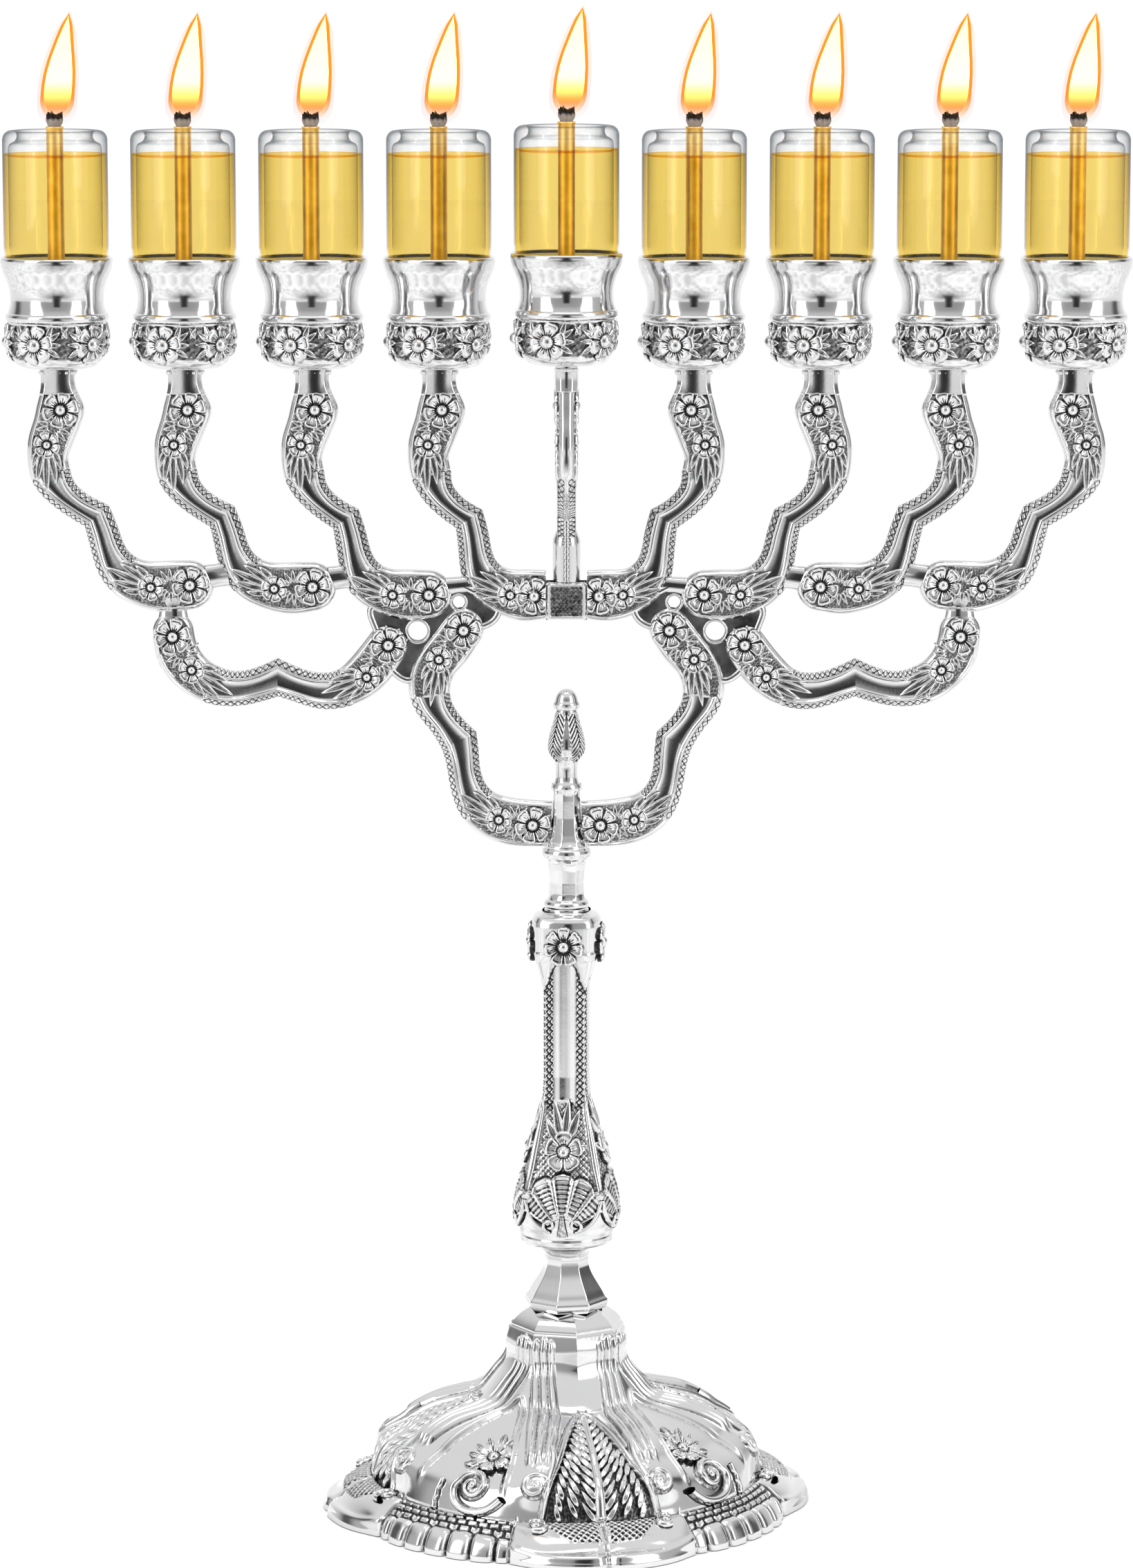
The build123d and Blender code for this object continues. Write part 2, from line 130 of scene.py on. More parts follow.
# ---------------------------------------------------------------- pieces of surface
def sheet(points, shade, wrap=False):
    """A grid of points as (vertices, quads, tarnish)."""
    rows, columns = points.shape[:2]
    index = np.arange(rows * columns).reshape(rows, columns)
    if wrap:
        index = np.column_stack([index, index[:, :1]])
    corners = [index[:-1, :-1], index[:-1, 1:], index[1:, 1:], index[1:, :-1]]
    quads = np.stack(corners, axis=-1).reshape(-1, 4)
    return points.reshape(-1, 3), quads, np.broadcast_to(shade, (rows, columns)).reshape(-1)


def flipped(surface):
    points, quads, shade = surface
    return points, quads[:, ::-1], shade


def mapped(surface, place, flip=False):
    """The surface with its points sent through place(across, up, out)."""
    points, quads, shade = surface
    moved = np.stack(place(points[:, 0], points[:, 1], points[:, 2]), axis=-1)
    return moved, quads[:, ::-1] if flip else quads, shade


def mirrored(surfaces):
    """The same surfaces on the +X side."""
    return [(points * (-1, 1, 1), quads[:, ::-1], shade) for points, quads, shade in surfaces]


def make_object(name, body, surfaces, material, replaces=(), slot=None, at=(0, 0, 0)):
    """Joins surfaces into one smooth mesh object that rides on a body."""
    vertices, quads, shades, start = [], [], [], 0
    for points, faces, shade in surfaces:
        vertices.append(points)
        quads.append(faces + start)
        shades.append(shade)
        start += len(points)
    vertices, quads = np.concatenate(vertices) * MM, np.concatenate(quads)
    mesh = bpy.data.meshes.new(name)
    mesh.vertices.add(len(vertices))
    mesh.vertices.foreach_set("co", vertices.astype(np.float32).ravel())
    mesh.loops.add(quads.size)
    mesh.loops.foreach_set("vertex_index", quads.astype(np.int32).ravel())
    mesh.polygons.add(len(quads))
    mesh.polygons.foreach_set("loop_start", np.arange(0, quads.size, 4, dtype=np.int32))
    mesh.polygons.foreach_set("loop_total", np.full(len(quads), 4, dtype=np.int32))
    mesh.polygons.foreach_set("use_smooth", np.ones(len(quads), dtype=bool))
    tarnish = mesh.attributes.new("tarnish", "FLOAT", "POINT")
    tarnish.data.foreach_set("value", np.concatenate(shades).astype(np.float32))
    mesh.update(calc_edges=True)
    mesh.validate()
    mesh.materials.append(material)
    return add_object(name, mesh, body, replaces, slot, at)


def plated(name, surfaces, silver, *replaced):
    """A piece of the stand in silver plate, which takes the place of the nodes named last."""
    return make_object(name, "stand", surfaces, silver, replaced, "silver_plate")


def add_object(name, mesh, body, replaces=(), slot=None, at=(0, 0, 0)):
    """Puts a mesh in the scene, riding on a body."""
    piece = bpy.data.objects.new(name, mesh)
    piece.location = Vector(at) * MM
    bpy.context.scene.collection.objects.link(piece)
    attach(piece, body)
    if replaces:
        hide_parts(*replaces)
    return piece


# ---------------------------------------------------------------- ornament in local coordinates
def flower(x, y, radius, base, rise, petals=6, turn=0.0, eye=0.29, ink=1.0):
    """A flower of rounded, creased petals round a ball. base and rise are heights out of the surface."""
    per_petal = 16
    phi = all_round(petals * per_petal)
    p = (np.mod(phi * petals / (2 * np.pi) + 0.5, 1.0) * 2 - 1)[None, :]
    edge = radius * (1 - 0.13 * np.abs(p) ** 2.6 - 0.13 * bell(np.abs(p), 1, 0.14) - 0.035 * bell(p, 0, 0.16))
    rho = np.array([0.2, 0.28, 0.34, 0.4, 0.48, 0.56, 0.64, 0.72, 0.8, 0.87, 0.93, 0.97, 1.0, 1.01])[:, None]
    dish = 0.74 + 0.24 * smooth(0.45, 0.8, rho) - 0.1 * bell(rho, 0.62, 0.16) * (1 - np.abs(p))
    fall = np.sqrt(np.clip(1 - np.clip((rho - 0.86) / 0.15, 0, 1) ** 2, 0, 1))
    gap = bell(np.abs(p), 1, 0.11 * ink) * smooth(0.26, 0.4, rho)
    crease = bell(np.abs(p), 0.45, 0.08 * ink) * smooth(0.28, 0.36, rho) * (1 - smooth(0.5, 0.6, rho))
    middle = bell(p, 0, 0.07 * ink) * smooth(0.28, 0.36, rho) * (1 - smooth(0.6, 0.72, rho))
    ring = bell(rho, 0.33, 0.05 * ink)
    height = rise * (dish * fall - 0.5 * gap - 0.14 * crease - 0.14 * middle - 0.3 * ring)
    height = np.where(rho > 1.0, -0.35 * rise, np.maximum(height, -0.1 * rise))
    shade = np.clip(gap + 0.8 * ink * (crease + middle) + 1.1 * ring + (rho > 0.985) * 0.8, 0, 1)
    angle = phi[None, :] + math.radians(turn)
    reach = edge * rho
    points = np.stack([x + reach * np.cos(angle), y + reach * np.sin(angle), base + height], axis=-1)
    return [sheet(points, shade, wrap=True), ball(x, y, base + 0.36 * rise, radius * eye)]


def ball(x, y, out, radius, shade=0.0):
    """A bead, as a little more than half a sphere."""
    around = all_round(20)[None, :]
    down = np.linspace(0.02, 0.62 * np.pi, 10)[:, None]
    flat = radius * np.sin(down)
    points = [x + flat * np.cos(around), y + flat * np.sin(around), out + radius * np.cos(down) + 0 * around]
    edge = np.clip(shade + smooth(0.42 * np.pi, 0.58 * np.pi, down), 0, 1)
    return sheet(np.stack(points, axis=-1), edge, wrap=True)


def leaf(x, y, degrees, length, width, base, rise, curl=0.0, veined=1.0):
    """A pointed leaf that starts at (x, y) and points along degrees, with a midrib and grooves if veined."""
    s = np.linspace(0, 1, 15)[:, None]
    t = np.array([-1, -0.92, -0.72, -0.5, -0.26, 0, 0.26, 0.5, 0.72, 0.92, 1])[None, :]
    profile = np.array([-0.5, 0.55, 0.95, 1.0, 0.7, 0.95, 0.7, 1.0, 0.95, 0.55, -0.5])[None, :]
    profile = 1 + (profile - 1) * np.where(np.abs(t) < 0.6, veined, 1.0)
    groove = np.array([1, 0.3, 0, 0.05, 0.75, 0.05, 0.75, 0.05, 0, 0.3, 1])[None, :]
    groove = groove * np.where(np.abs(t) < 0.6, veined, 1.0)
    half = width / 2 * np.sin(np.pi * np.clip(s, 0, 1) ** 0.72) ** 0.75 * (1 - 0.15 * s) + 0.02
    bend = math.radians(curl) * s
    along = length * s * np.cos(bend / 2)
    side = length * s * np.sin(bend / 2)
    u, v = along - half * t * np.sin(bend), side + half * t * np.cos(bend)
    c, sn = math.cos(math.radians(degrees)), math.sin(math.radians(degrees))
    lift = (0.55 + 0.45 * np.sin(np.pi * s**0.8)) * np.minimum(1, (1 - s) * 6 + 0.35)
    height = base + rise * profile * lift
    shade = np.clip(groove * smooth(0, 0.12, s) * (1 - smooth(0.8, 0.98, s)) + 0.4 * (np.abs(t) > 0.95), 0, 1)
    return sheet(np.stack([x + u * c - v * sn, y + u * sn + v * c, height], axis=-1), shade)


def cord(path, widths, base, rises, shade=0.0, closed=False):
    """A rounded raised line along a flat path of (across, up) points."""
    path = np.asarray(path, float)
    widths = np.broadcast_to(widths, len(path))[:, None]
    rises = np.broadcast_to(rises, len(path))[:, None]
    along = np.roll(path, -1, 0) - np.roll(path, 1, 0) if closed else np.gradient(path, axis=0)
    along /= np.linalg.norm(along, axis=1)[:, None] + 1e-9
    across = np.stack([-along[:, 1], along[:, 0]], axis=1)
    t = np.array([-1.12, -1, -0.86, -0.6, -0.3, 0, 0.3, 0.6, 0.86, 1, 1.12])
    crown = np.sqrt(np.clip(1 - t**2, 0, 1)) + np.where(np.abs(t) > 1, -0.5, 0)
    side = path[:, None, :] + across[:, None, :] * (widths / 2 * t[None, :])[:, :, None]
    points = np.concatenate([side, (base + rises * crown[None, :])[:, :, None]], axis=-1)
    edge = np.clip(shade + 0.9 * (np.abs(t) > 0.9), 0, 1)[None, :]
    if closed:
        points = np.concatenate([points, points[:1]])
    return flipped(sheet(points, edge))


def spiral(x, y, radius, turns, start, way=1, inner=0.12, count=60):
    """Points from the middle of a spiral outwards, ending at the angle start, in degrees."""
    s = np.linspace(0, 1, count)
    reach = radius * (inner + (1 - inner) * s**0.9)
    angle = math.radians(start) - way * 2 * np.pi * turns * (1 - s)
    return np.stack([x + reach * np.cos(angle), y + reach * np.sin(angle)], axis=1)


def volute(x, y, radius, start, way, base, rise, turns=1.6, tail=()):
    """A rolled scroll: a tapering cord wound on a low boss, and a tail that runs on from it."""
    path = spiral(x, y, radius * 0.86, turns, start, way)
    if len(tail):
        knots = np.concatenate([path[-1:], np.asarray(tail, float)])
        path = np.concatenate([path, through(knots, np.linspace(0, len(knots) - 1, 12 * len(knots)))[1:]])
    order = np.arange(len(path))
    grow = smooth(0, 60, order) + 0.5 * smooth(60, 60 + 10 * len(tail), order)
    widths = radius * (0.2 + 0.24 * grow)
    around = all_round(40)[None, :]
    reach = radius * np.array([0.92, 0.9, 0.45, 0.02])[:, None]
    low = base + rise * (np.array([-0.4, 0.15, 0.2, 0.2])[:, None] + 0 * around)
    ground = np.stack([x + reach * np.cos(around), y + reach * np.sin(around), low], axis=-1)
    boss = [ball(x, y, base + rise * 0.35, radius * 0.2), sheet(ground, 0.5, wrap=True)]
    return [cord(path, widths, base, rise * (0.55 + 0.35 * grow))] + boss


# ---------------------------------------------------------------- arms
ARM_SPINE = [
    (0.0, 273.3, 4.05),
    (0.0, 268.6, 4.1),
    (0.5, 264.6, 5.5),
    (-0.5, 260.4, 5.4),
    (-2.0, 256.2, 5.2),
    (-2.6, 252.0, 4.8),
    (-1.9, 248.1, 4.7),
    (0.0, 244.8, 4.0),
    (3.3, 241.7, 3.5),
    (8.6, 238.6, 3.8),
    (10.2, 234.0, 3.8),
    (11.4, 230.0, 4.05),
    (13.0, 226.8, 4.6),
    (16.4, 223.8, 5.2),
    (20.8, 222.3, 5.7),
    (25.5, 221.9, 6.1),
    (30.2, 222.3, 5.8),
]
ARM_KINK = 9
ARM_END_SHIFTS = [(0.0, 0.0), (-0.9, -0.4), (-3.3, -2.3), (-5.9, -2.3)]
LINK_SPINE = [
    (-92.5, 211.2, 4.9),
    (-91.6, 206.4, 5.1),
    (-88.6, 201.9, 4.9),
    (-83.4, 198.6, 4.6),
    (-78.2, 197.7, 4.2),
    (-73.4, 198.4, 4.05),
    (-68.0, 200.4, 4.6),
    (-63.0, 198.4, 4.05),
    (-58.0, 197.2, 4.3),
    (-53.0, 197.7, 4.5),
    (-48.6, 200.2, 5.0),
    (-45.0, 203.9, 5.2),
    (-42.1, 208.0, 5.0),
]
LINK_KINK = 6
LOWER_ARM_SPINE = [
    (-24.3, 212.2, 5.0),
    (-27.8, 207.2, 5.2),
    (-31.2, 202.6, 5.1),
    (-32.3, 198.0, 5.0),
    (-31.3, 193.6, 4.4),
    (-28.7, 189.6, 3.9),
    (-25.4, 185.4, 4.6),
    (-24.7, 181.6, 4.1),
    (-24.2, 178.0, 3.9),
    (-23.4, 174.5, 4.1),
    (-21.8, 171.0, 4.6),
    (-18.8, 168.1, 5.2),
    (-14.5, 166.3, 5.6),
    (-9.0, 165.6, 5.6),
    (-3.5, 165.5, 5.4),
]
LOWER_ARM_KINK = 6
SHAMASH_SPINE = ARM_SPINE[:10] + [(9.4, 233.6, 3.9), (9.4, 228.0, 3.9), (9.2, 221.7, 3.7)]

EDGE_HALF = 0.4  # half the thickness of an arm's outermost edge
BEVEL_WIDTH = 1.45
BORDER = 1.75  # the raised line's distance from the outline
CHANNEL = 2.05  # where the polished channel starts
PANEL = 2.0  # the arm's half thickness at its border
GROUND = 1.75  # and between the flowers
CHANNEL_DEPTH = 0.6
ROW_STEP = 0.17
POST = (-1, 1.35)  # the plain stretch under a cup, in spine points
UPPER_BLOOM = (1.35, 5.9)  # and the flowered stretch below it
COLLAR_LEVEL = 272.3
POST_HALF_WIDTH, POST_HALF_DEPTH = 4.05, 2.4


def arm_spine(number):
    """The spine of arms 1 to 4, placed at its light."""
    shift_x, shift_z = ARM_END_SHIFTS[number - 1]
    last = len(ARM_SPINE) - 1
    spine = []
    for i, (x, z, half) in enumerate(ARM_SPINE):
        share = max(0.0, (i - ARM_KINK + 3) / (last - ARM_KINK + 3))
        spine.append((light_x(number) + x + shift_x * share, z + shift_z * share, half))
    return spine


def light_x(number):
    return (number - SHAMASH) * LIGHT_PITCH


def light_at(number):
    """Where a light's cup, glass, oil, wick and flame stand."""
    return (0, -SHAMASH_LEAD, SHAMASH_RISE) if number == SHAMASH else (light_x(number), 0, 0)


def spine_sides(spine):
    """The two edges of an arm, one point each side of every spine point."""
    spine = np.asarray(spine, float)
    along = np.empty((len(spine), 2))
    for i in range(len(spine)):
        before, after = spine[max(i - 1, 0), :2], spine[min(i + 1, len(spine) - 1), :2]
        along[i] = (after - before) / np.linalg.norm(after - before)
    across = np.stack([-along[:, 1], along[:, 0]], axis=1) * spine[:, 2:3]
    return spine[:, :2] + across, spine[:, :2] - across


def arm_relief(edge, along, half, floral, post):
    """An arm's half thickness and tarnish, from the distance to its outline and the length along it."""
    deep = np.clip((edge - CHANNEL) / np.maximum(half - CHANNEL, 0.5), 0, 1)
    bevel = EDGE_HALF + (PANEL - EDGE_HALF) * np.clip(edge / BEVEL_WIDTH, 0, 1)
    line = bell(edge, BORDER, 0.2)
    trough = CHANNEL_DEPTH * (0.7 * (1 - (1 - deep) ** 7) + 0.3 * deep * (2 - deep))
    cut = hatch(along, edge * 1.05, 1.45, 0.15) * (1 - smooth(1.3, 1.5, edge)) * smooth(0.02, 0.2, edge)
    chased = bevel + 0.24 * line - trough - 0.2 * cut
    beside = 0.75 * bell(edge, BORDER - 0.33, 0.1) + 0.25 * bell(edge, BORDER + 0.3, 0.12)
    chased_shade = np.clip(1.2 * cut + beside, 0, 1)
    roll = EDGE_HALF + (PANEL - 0.15 - EDGE_HALF) * np.sqrt(np.clip(edge / 1.15, 0, 1))
    pits = np.sin(along * 8.3 + np.sin(edge * 9.1)) * np.sin(edge * 7.7 + np.cos(along * 6.1))
    sunk = smooth(1.15, 1.45, edge)
    ground = roll - sunk * (0.3 - 0.06 * pits)
    ground_shade = sunk * (0.4 + 0.2 * pits)
    facet = EDGE_HALF + 0.9 + np.clip(edge, 0, 1.0) + 0.5 * (1 - (1 - edge / np.maximum(half, 1)) ** 2)
    thick = chased * (1 - floral) + ground * floral
    shade = chased_shade * (1 - floral) + ground_shade * floral
    return thick * (1 - post) + facet * post, shade * (1 - post)


def arm_body(spine, kink, blooms, posts=(), round_start=False, round_end=True):
    """An arm's whole surface in flat coordinates: x, z and out of its mid-plane.

    blooms and posts are ranges along the spine, in spine points: the flowered stretches and the plain ones.
    """
    left, right = spine_sides(spine)
    last = len(spine) - 1
    marks = np.linalg.norm(np.diff(np.asarray(spine)[:, :2], axis=0), axis=1)
    at = [np.linspace(i, i + 1, max(4, int(n / ROW_STEP)), endpoint=False) for i, n in enumerate(marks)]
    at = np.concatenate(at + [[float(last)]])
    first = at <= kink

    def side(points):
        one = through(points[: kink + 1], at[first])
        two = through(points[kink:], at[~first] - kink)
        return np.concatenate([one, two])

    lefts, rights = side(left), side(right)
    middles, half = (lefts + rights) / 2, np.linalg.norm(lefts - rights, axis=1) / 2
    across = (lefts - rights) / (2 * half[:, None])
    beyond = np.zeros(len(at))
    out = np.zeros((len(at), 2))
    squeeze = np.ones(len(at))
    for wanted, end in ((round_end, -1), (round_start, 0)):
        if not wanted:
            continue
        turn = np.linspace(0, np.pi / 2, 26)[1:]
        towards = np.array([across[end, 1], -across[end, 0]]) * (1 if end else -1)
        extra = (np.repeat(middles[end][None], 25, 0), np.repeat(across[end][None], 25, 0))
        rows = (half[end] * np.ones(25), half[end] * np.sin(turn), np.cos(turn), at[end] * np.ones(25))
        outs = np.repeat(towards[None], 25, 0)
        if end == 0:
            extra, rows, outs = [e[::-1] for e in extra], [r[::-1] for r in rows], outs[::-1]

        def joined(old, new):
            return np.concatenate([old, new] if end else [new, old])

        middles, across, out = joined(middles, extra[0]), joined(across, extra[1]), joined(out, outs)
        half, beyond, squeeze, at = (joined(o, n) for o, n in zip((half, beyond, squeeze, at), rows))
    inner = np.linspace(0, 1, 15)[1:]
    rim = np.array([0, 0.12, 0.25, 0.4, 0.55, 0.7, 0.85, 1.0, 1.15, 1.3, 1.45, 1.6, 1.75, 1.9, CHANNEL])
    middle = CHANNEL + (half[:, None] - CHANNEL) * inner[None]
    edges = np.concatenate([np.repeat(rim[None], len(half), 0), middle], axis=1)
    share = 1 - edges / half[:, None]
    share = np.concatenate([share, -share[:, -2::-1]], axis=1)
    lateral = share * (half * squeeze)[:, None]
    distance = half[:, None] - np.hypot(lateral, beyond[:, None])
    centre = middles + out * beyond[:, None]
    length = lengths_along(centre)

    def within(ranges):
        total = np.zeros(len(at))
        for low, high in ranges:
            ends = smooth(low - 0.06, low + 0.06, at) * (1 - smooth(high - 0.06, high + 0.06, at))
            total = np.maximum(total, ends)
        return total[:, None]

    thick, shade = arm_relief(
        np.maximum(distance, 0), length[:, None], half[:, None], within(blooms), within(posts)
    )
    flat = centre[:, None, :] + across[:, None, :] * lateral[:, :, None]
    front = np.concatenate([flat, thick[:, :, None]], axis=-1)
    back = front[:, ::-1] * (1, 1, -1)
    points = np.concatenate([front, back], axis=1)
    shades = np.concatenate([shade, shade[:, ::-1]], axis=1)
    for end in (0, -1):
        closing = points[end : end + 1 or None].copy()
        closing[...] = closing.mean(axis=1, keepdims=True)
        points = np.concatenate([closing, points] if end == 0 else [points, closing])
        shades = np.concatenate([shades[:1], shades] if end == 0 else [shades, shades[-1:]])
    return flipped(sheet(points, shades, wrap=True))


def cluster(big, small, towards, way=1, big_radius=4.55, small_radius=3.35):
    """Two flowers and their leaves: the long leaves fan out from the small flower over the channel."""
    big, small = np.array(big, float), np.array(small, float)
    base = GROUND - 0.25
    surfaces = flower(*big, big_radius, base, 1.45, petals=6, turn=15, ink=1.35)
    surfaces += flower(*small, small_radius, base, 1.25, petals=6, turn=40, ink=1.35)
    fan = ((-56, 4.4, 1.9), (-30, 7.0, 2.1), (-5, 9.2, 2.2), (20, 7.4, 2.1), (46, 4.6, 1.9))
    for angle, length, width in fan:
        start = small + 2.2 * unit(towards + way * angle)
        lean, curl = towards + way * angle * 0.62, -way * angle * 0.45
        surfaces.append(leaf(*start, lean, length, width, base + 0.1, 1.1, curl=curl))
    line = big - small
    heading = math.degrees(math.atan2(line[1], line[0]))
    middle = small + line * 0.52
    for sign in (1, -1):
        for lean, reach in ((38, 3.4), (64, 3.2), (92, 3.1), (120, 3.2), (146, 3.2)):
            start = middle + 1.2 * unit(heading + sign * lean)
            surfaces.append(leaf(*start, heading + sign * lean, reach, 1.35, base - 0.05, 1.0))
    for lean in (-40, 0, 40):
        start = big + (big_radius - 1.3) * unit(heading + lean)
        surfaces.append(leaf(*start, heading + lean, 1.6, 1.2, base - 0.15, 0.9))
    return surfaces


def on_front(x, z, out):
    return x, -out, z


def on_back(x, z, out):
    return x, out, z


def on_left_side(y, z, out):
    return -out, y, z


def on_right_side(y, z, out):
    return out, y, z


def both_sides(body, ornament, sides=(on_front, on_back)):
    """An arm's body, and its ornament on the two faces."""
    placed = [mapped(body, sides[0])]
    placed += [mapped(surface, sides[0]) for surface in ornament]
    placed += [mapped(surface, sides[1], flip=True) for surface in ornament]
    return placed


def bar(start, end, half_across, half_deep, waist=0.12):
    """A short rounded connecting bar between two points in the arms' plane."""
    start, end = np.array(start, float), np.array(end, float)
    s = np.linspace(0, 1, 14)
    along = (end - start) / np.linalg.norm(end - start)
    across = np.array([-along[1], along[0]])
    around = all_round(40)
    c, sn = np.cos(around), np.sin(around)
    square = 1 / (np.abs(c) ** 2.2 + np.abs(sn) ** 2.2) ** (1 / 2.2)
    pinch = (1 - waist * np.sin(np.pi * s))[:, None]
    flat = half_across * (c * square)[None, :] * pinch
    deep = half_deep * (sn * square)[None, :] * pinch
    centre = start + (end - start) * s[:, None]
    x = centre[:, :1] + across[0] * flat
    z = centre[:, 1:] + across[1] * flat
    return sheet(np.stack([x, -deep, z], axis=-1), 0.0, wrap=True)


def beaded_collar(x, y, z, half_x, half_y, radius=0.5):
    """A row of beads round the top of a post."""
    beads = []
    for sign in (-1, 1):

        def on_face(across, up, out):
            return x + across, y + sign * (half_y + out - 0.1), z + up

        def on_end(across, up, out):
            return x + sign * (half_x + out - 0.1), y + across, z + up

        for across in np.linspace(-half_x + 0.5, half_x - 0.5, 6):
            beads.append(mapped(ball(across, 0, 0, radius), on_face, flip=sign > 0))
        for across in np.linspace(-half_y + 0.7, half_y - 0.7, 3):
            beads.append(mapped(ball(across, 0, 0, radius), on_end, flip=sign < 0))
    return beads


def arm_surfaces(number):
    """Arm 1, 2, 3 or 4, with the bar that joins it to the next."""
    spine = arm_spine(number)
    x = light_x(number)
    last = len(spine) - 1
    body = arm_body(spine, ARM_KINK, blooms=[UPPER_BLOOM, (12.6, last + 1)], posts=[POST])
    upper = cluster((x + 0.6, 263.6), (x - 2.7, 255.4), -88, way=1)
    end = np.array(spine[-1][:2])
    small = np.array(spine[14][:2]) + (0.4, -0.4)
    big = end + ((0.2, 0.1) if number < 4 else (-2.2, -0.2))
    lower = cluster(big, small, 158, way=1)
    surfaces = both_sides(body, upper + lower)
    if number == 4:
        # the fourth arm stops at the centre block
        block_side = (-4.85, 99, 999)
        return [(np.minimum(points, block_side), quads, shade) for points, quads, shade in surfaces]
    following = light_x(number + 1) + 9.6
    height = 3.0 if number < 3 else 2.3
    surfaces.append(bar((end[0] + 4.2, end[1] + 1.8), (following, end[1] + 2.6), height, 1.65, waist=0.06))
    return surfaces + beaded_collar(x, 0, COLLAR_LEVEL, POST_HALF_WIDTH, POST_HALF_DEPTH)


def make_arms(silver):
    for number in range(1, 5):
        surfaces = arm_surfaces(number)
        if number == 4:
            surfaces += beaded_collar(light_x(4), 0, COLLAR_LEVEL, POST_HALF_WIDTH, POST_HALF_DEPTH)
        plated(f"silver_arm_{number}", surfaces, silver, f"arm_{number}")
        name = f"silver_arm_{9 - number}"
        plated(name, mirrored(surfaces), silver, f"arm_{9 - number}")


def make_links(silver):
    last = len(LINK_SPINE) - 1
    body = arm_body(LINK_SPINE, LINK_KINK, blooms=[(-1, 2.9), (9.2, last + 1)], round_start=True)
    ornament = cluster((-92.6, 210.2), (-88.2, 202.3), -34, way=-1)
    ornament += cluster((-41.9, 208.2), (-47.0, 200.6), 202, way=1)
    surfaces = both_sides(body, ornament) + [bar((-92.5, 214.2), (-92.5, 219.4), 3.7, 1.9)]
    for side, placed in (("left", surfaces), ("right", mirrored(surfaces))):
        plated(f"silver_link_{side}", placed, silver, f"link_{side}")


WEB_HOLES = ((-35.0, 211.4, 2.35), (-25.3, 218.3, 1.5))
WEB_HALF = 1.2


def web_surface():
    """The thin pierced web between the lower arm, the link and arms 3 and 4."""
    corners = [
        (-46.0, 216.5),
        (-44.6, 211.5),
        (-39.3, 200.6),
        (-37.4, 199.8),
        (-33.0, 205.0),
        (-20.0, 212.5),
        (-17.0, 214.2),
        (-16.0, 216.5),
        (-21.5, 220.6),
        (-26.0, 222.4),
        (-31.0, 220.2),
        (-38.0, 217.5),
    ]
    curve = bpy.data.curves.new("web", "CURVE")
    curve.dimensions, curve.fill_mode, curve.extrude = "2D", "BOTH", WEB_HALF
    closed = corners[-1:] + corners + corners[:2]
    outline = through(closed, np.linspace(1, len(corners) + 1, 10 * len(corners), endpoint=False))
    rings = [outline.tolist()]
    for x, z, radius in WEB_HOLES:
        turns = all_round(40)
        rings.append([(x + radius * math.cos(a), z + radius * math.sin(a)) for a in turns])
    for ring in rings:
        spline = curve.splines.new("POLY")
        spline.points.add(len(ring) - 1)
        for point, (x, z) in zip(spline.points, ring):
            point.co = (x, z, 0, 1)
        spline.use_cyclic_u = True
    holder = bpy.data.objects.new("web", curve)
    mesh = bpy.data.meshes.new_from_object(holder)
    points = np.array([v.co for v in mesh.vertices])
    faces = [list(p.vertices) for p in mesh.polygons]
    quads = np.array([f if len(f) == 4 else f + f[-1:] for f in faces])
    bpy.data.objects.remove(holder)
    bpy.data.curves.remove(curve)
    return points, quads, outline


def make_lower_arms(silver, plate):
    last = len(LOWER_ARM_SPINE) - 1
    blooms = [(-1, 3.4), (10.4, last + 1)]
    body = arm_body(LOWER_ARM_SPINE, LOWER_ARM_KINK, blooms, round_start=True, round_end=False)
    ornament = cluster((-24.2, 211.7), (-30.0, 204.8), -98, way=1)
    ornament += cluster((-8.0, 165.3), (-16.0, 166.6), 148, way=1)
    surfaces = both_sides(body, ornament)
    for side in ("left", "right"):
        placed = surfaces if side == "left" else mirrored(surfaces)
        plated(f"silver_lower_arm_{side}", placed, silver, f"lower_arm_{side}")
    points, quads, outline = web_surface()
    rims = [cord(outline, 1.5, WEB_HALF - 0.15, 0.5, closed=True)]
    for x, z, radius in WEB_HOLES:
        turns = all_round(48)
        ring = np.stack([x + (radius + 0.35) * np.cos(turns), z + (radius + 0.35) * np.sin(turns)], axis=1)
        rims.append(cord(ring, 0.7, WEB_HALF - 0.1, 0.45, closed=True))
    for side, sign in (("left", 1), ("right", -1)):
        plate_points = np.stack([points[:, 0] * sign, -points[:, 2], points[:, 1]], axis=1)
        mesh = bpy.data.meshes.new(f"web_{side}")
        faces = [list(dict.fromkeys(q)) for q in quads.tolist()]
        mesh.from_pydata((plate_points * MM).tolist(), [], faces if sign > 0 else [f[::-1] for f in faces])
        mesh.materials.append(plate)
        add_object(f"web_{side}", mesh, "stand", slot="silver_plate")
        placed = both_sides(rims[0], rims[1:]) + [mapped(rims[0], on_back, flip=True)]
        placed = placed if sign > 0 else mirrored(placed)
        plated(f"web_rims_{side}", placed, silver)


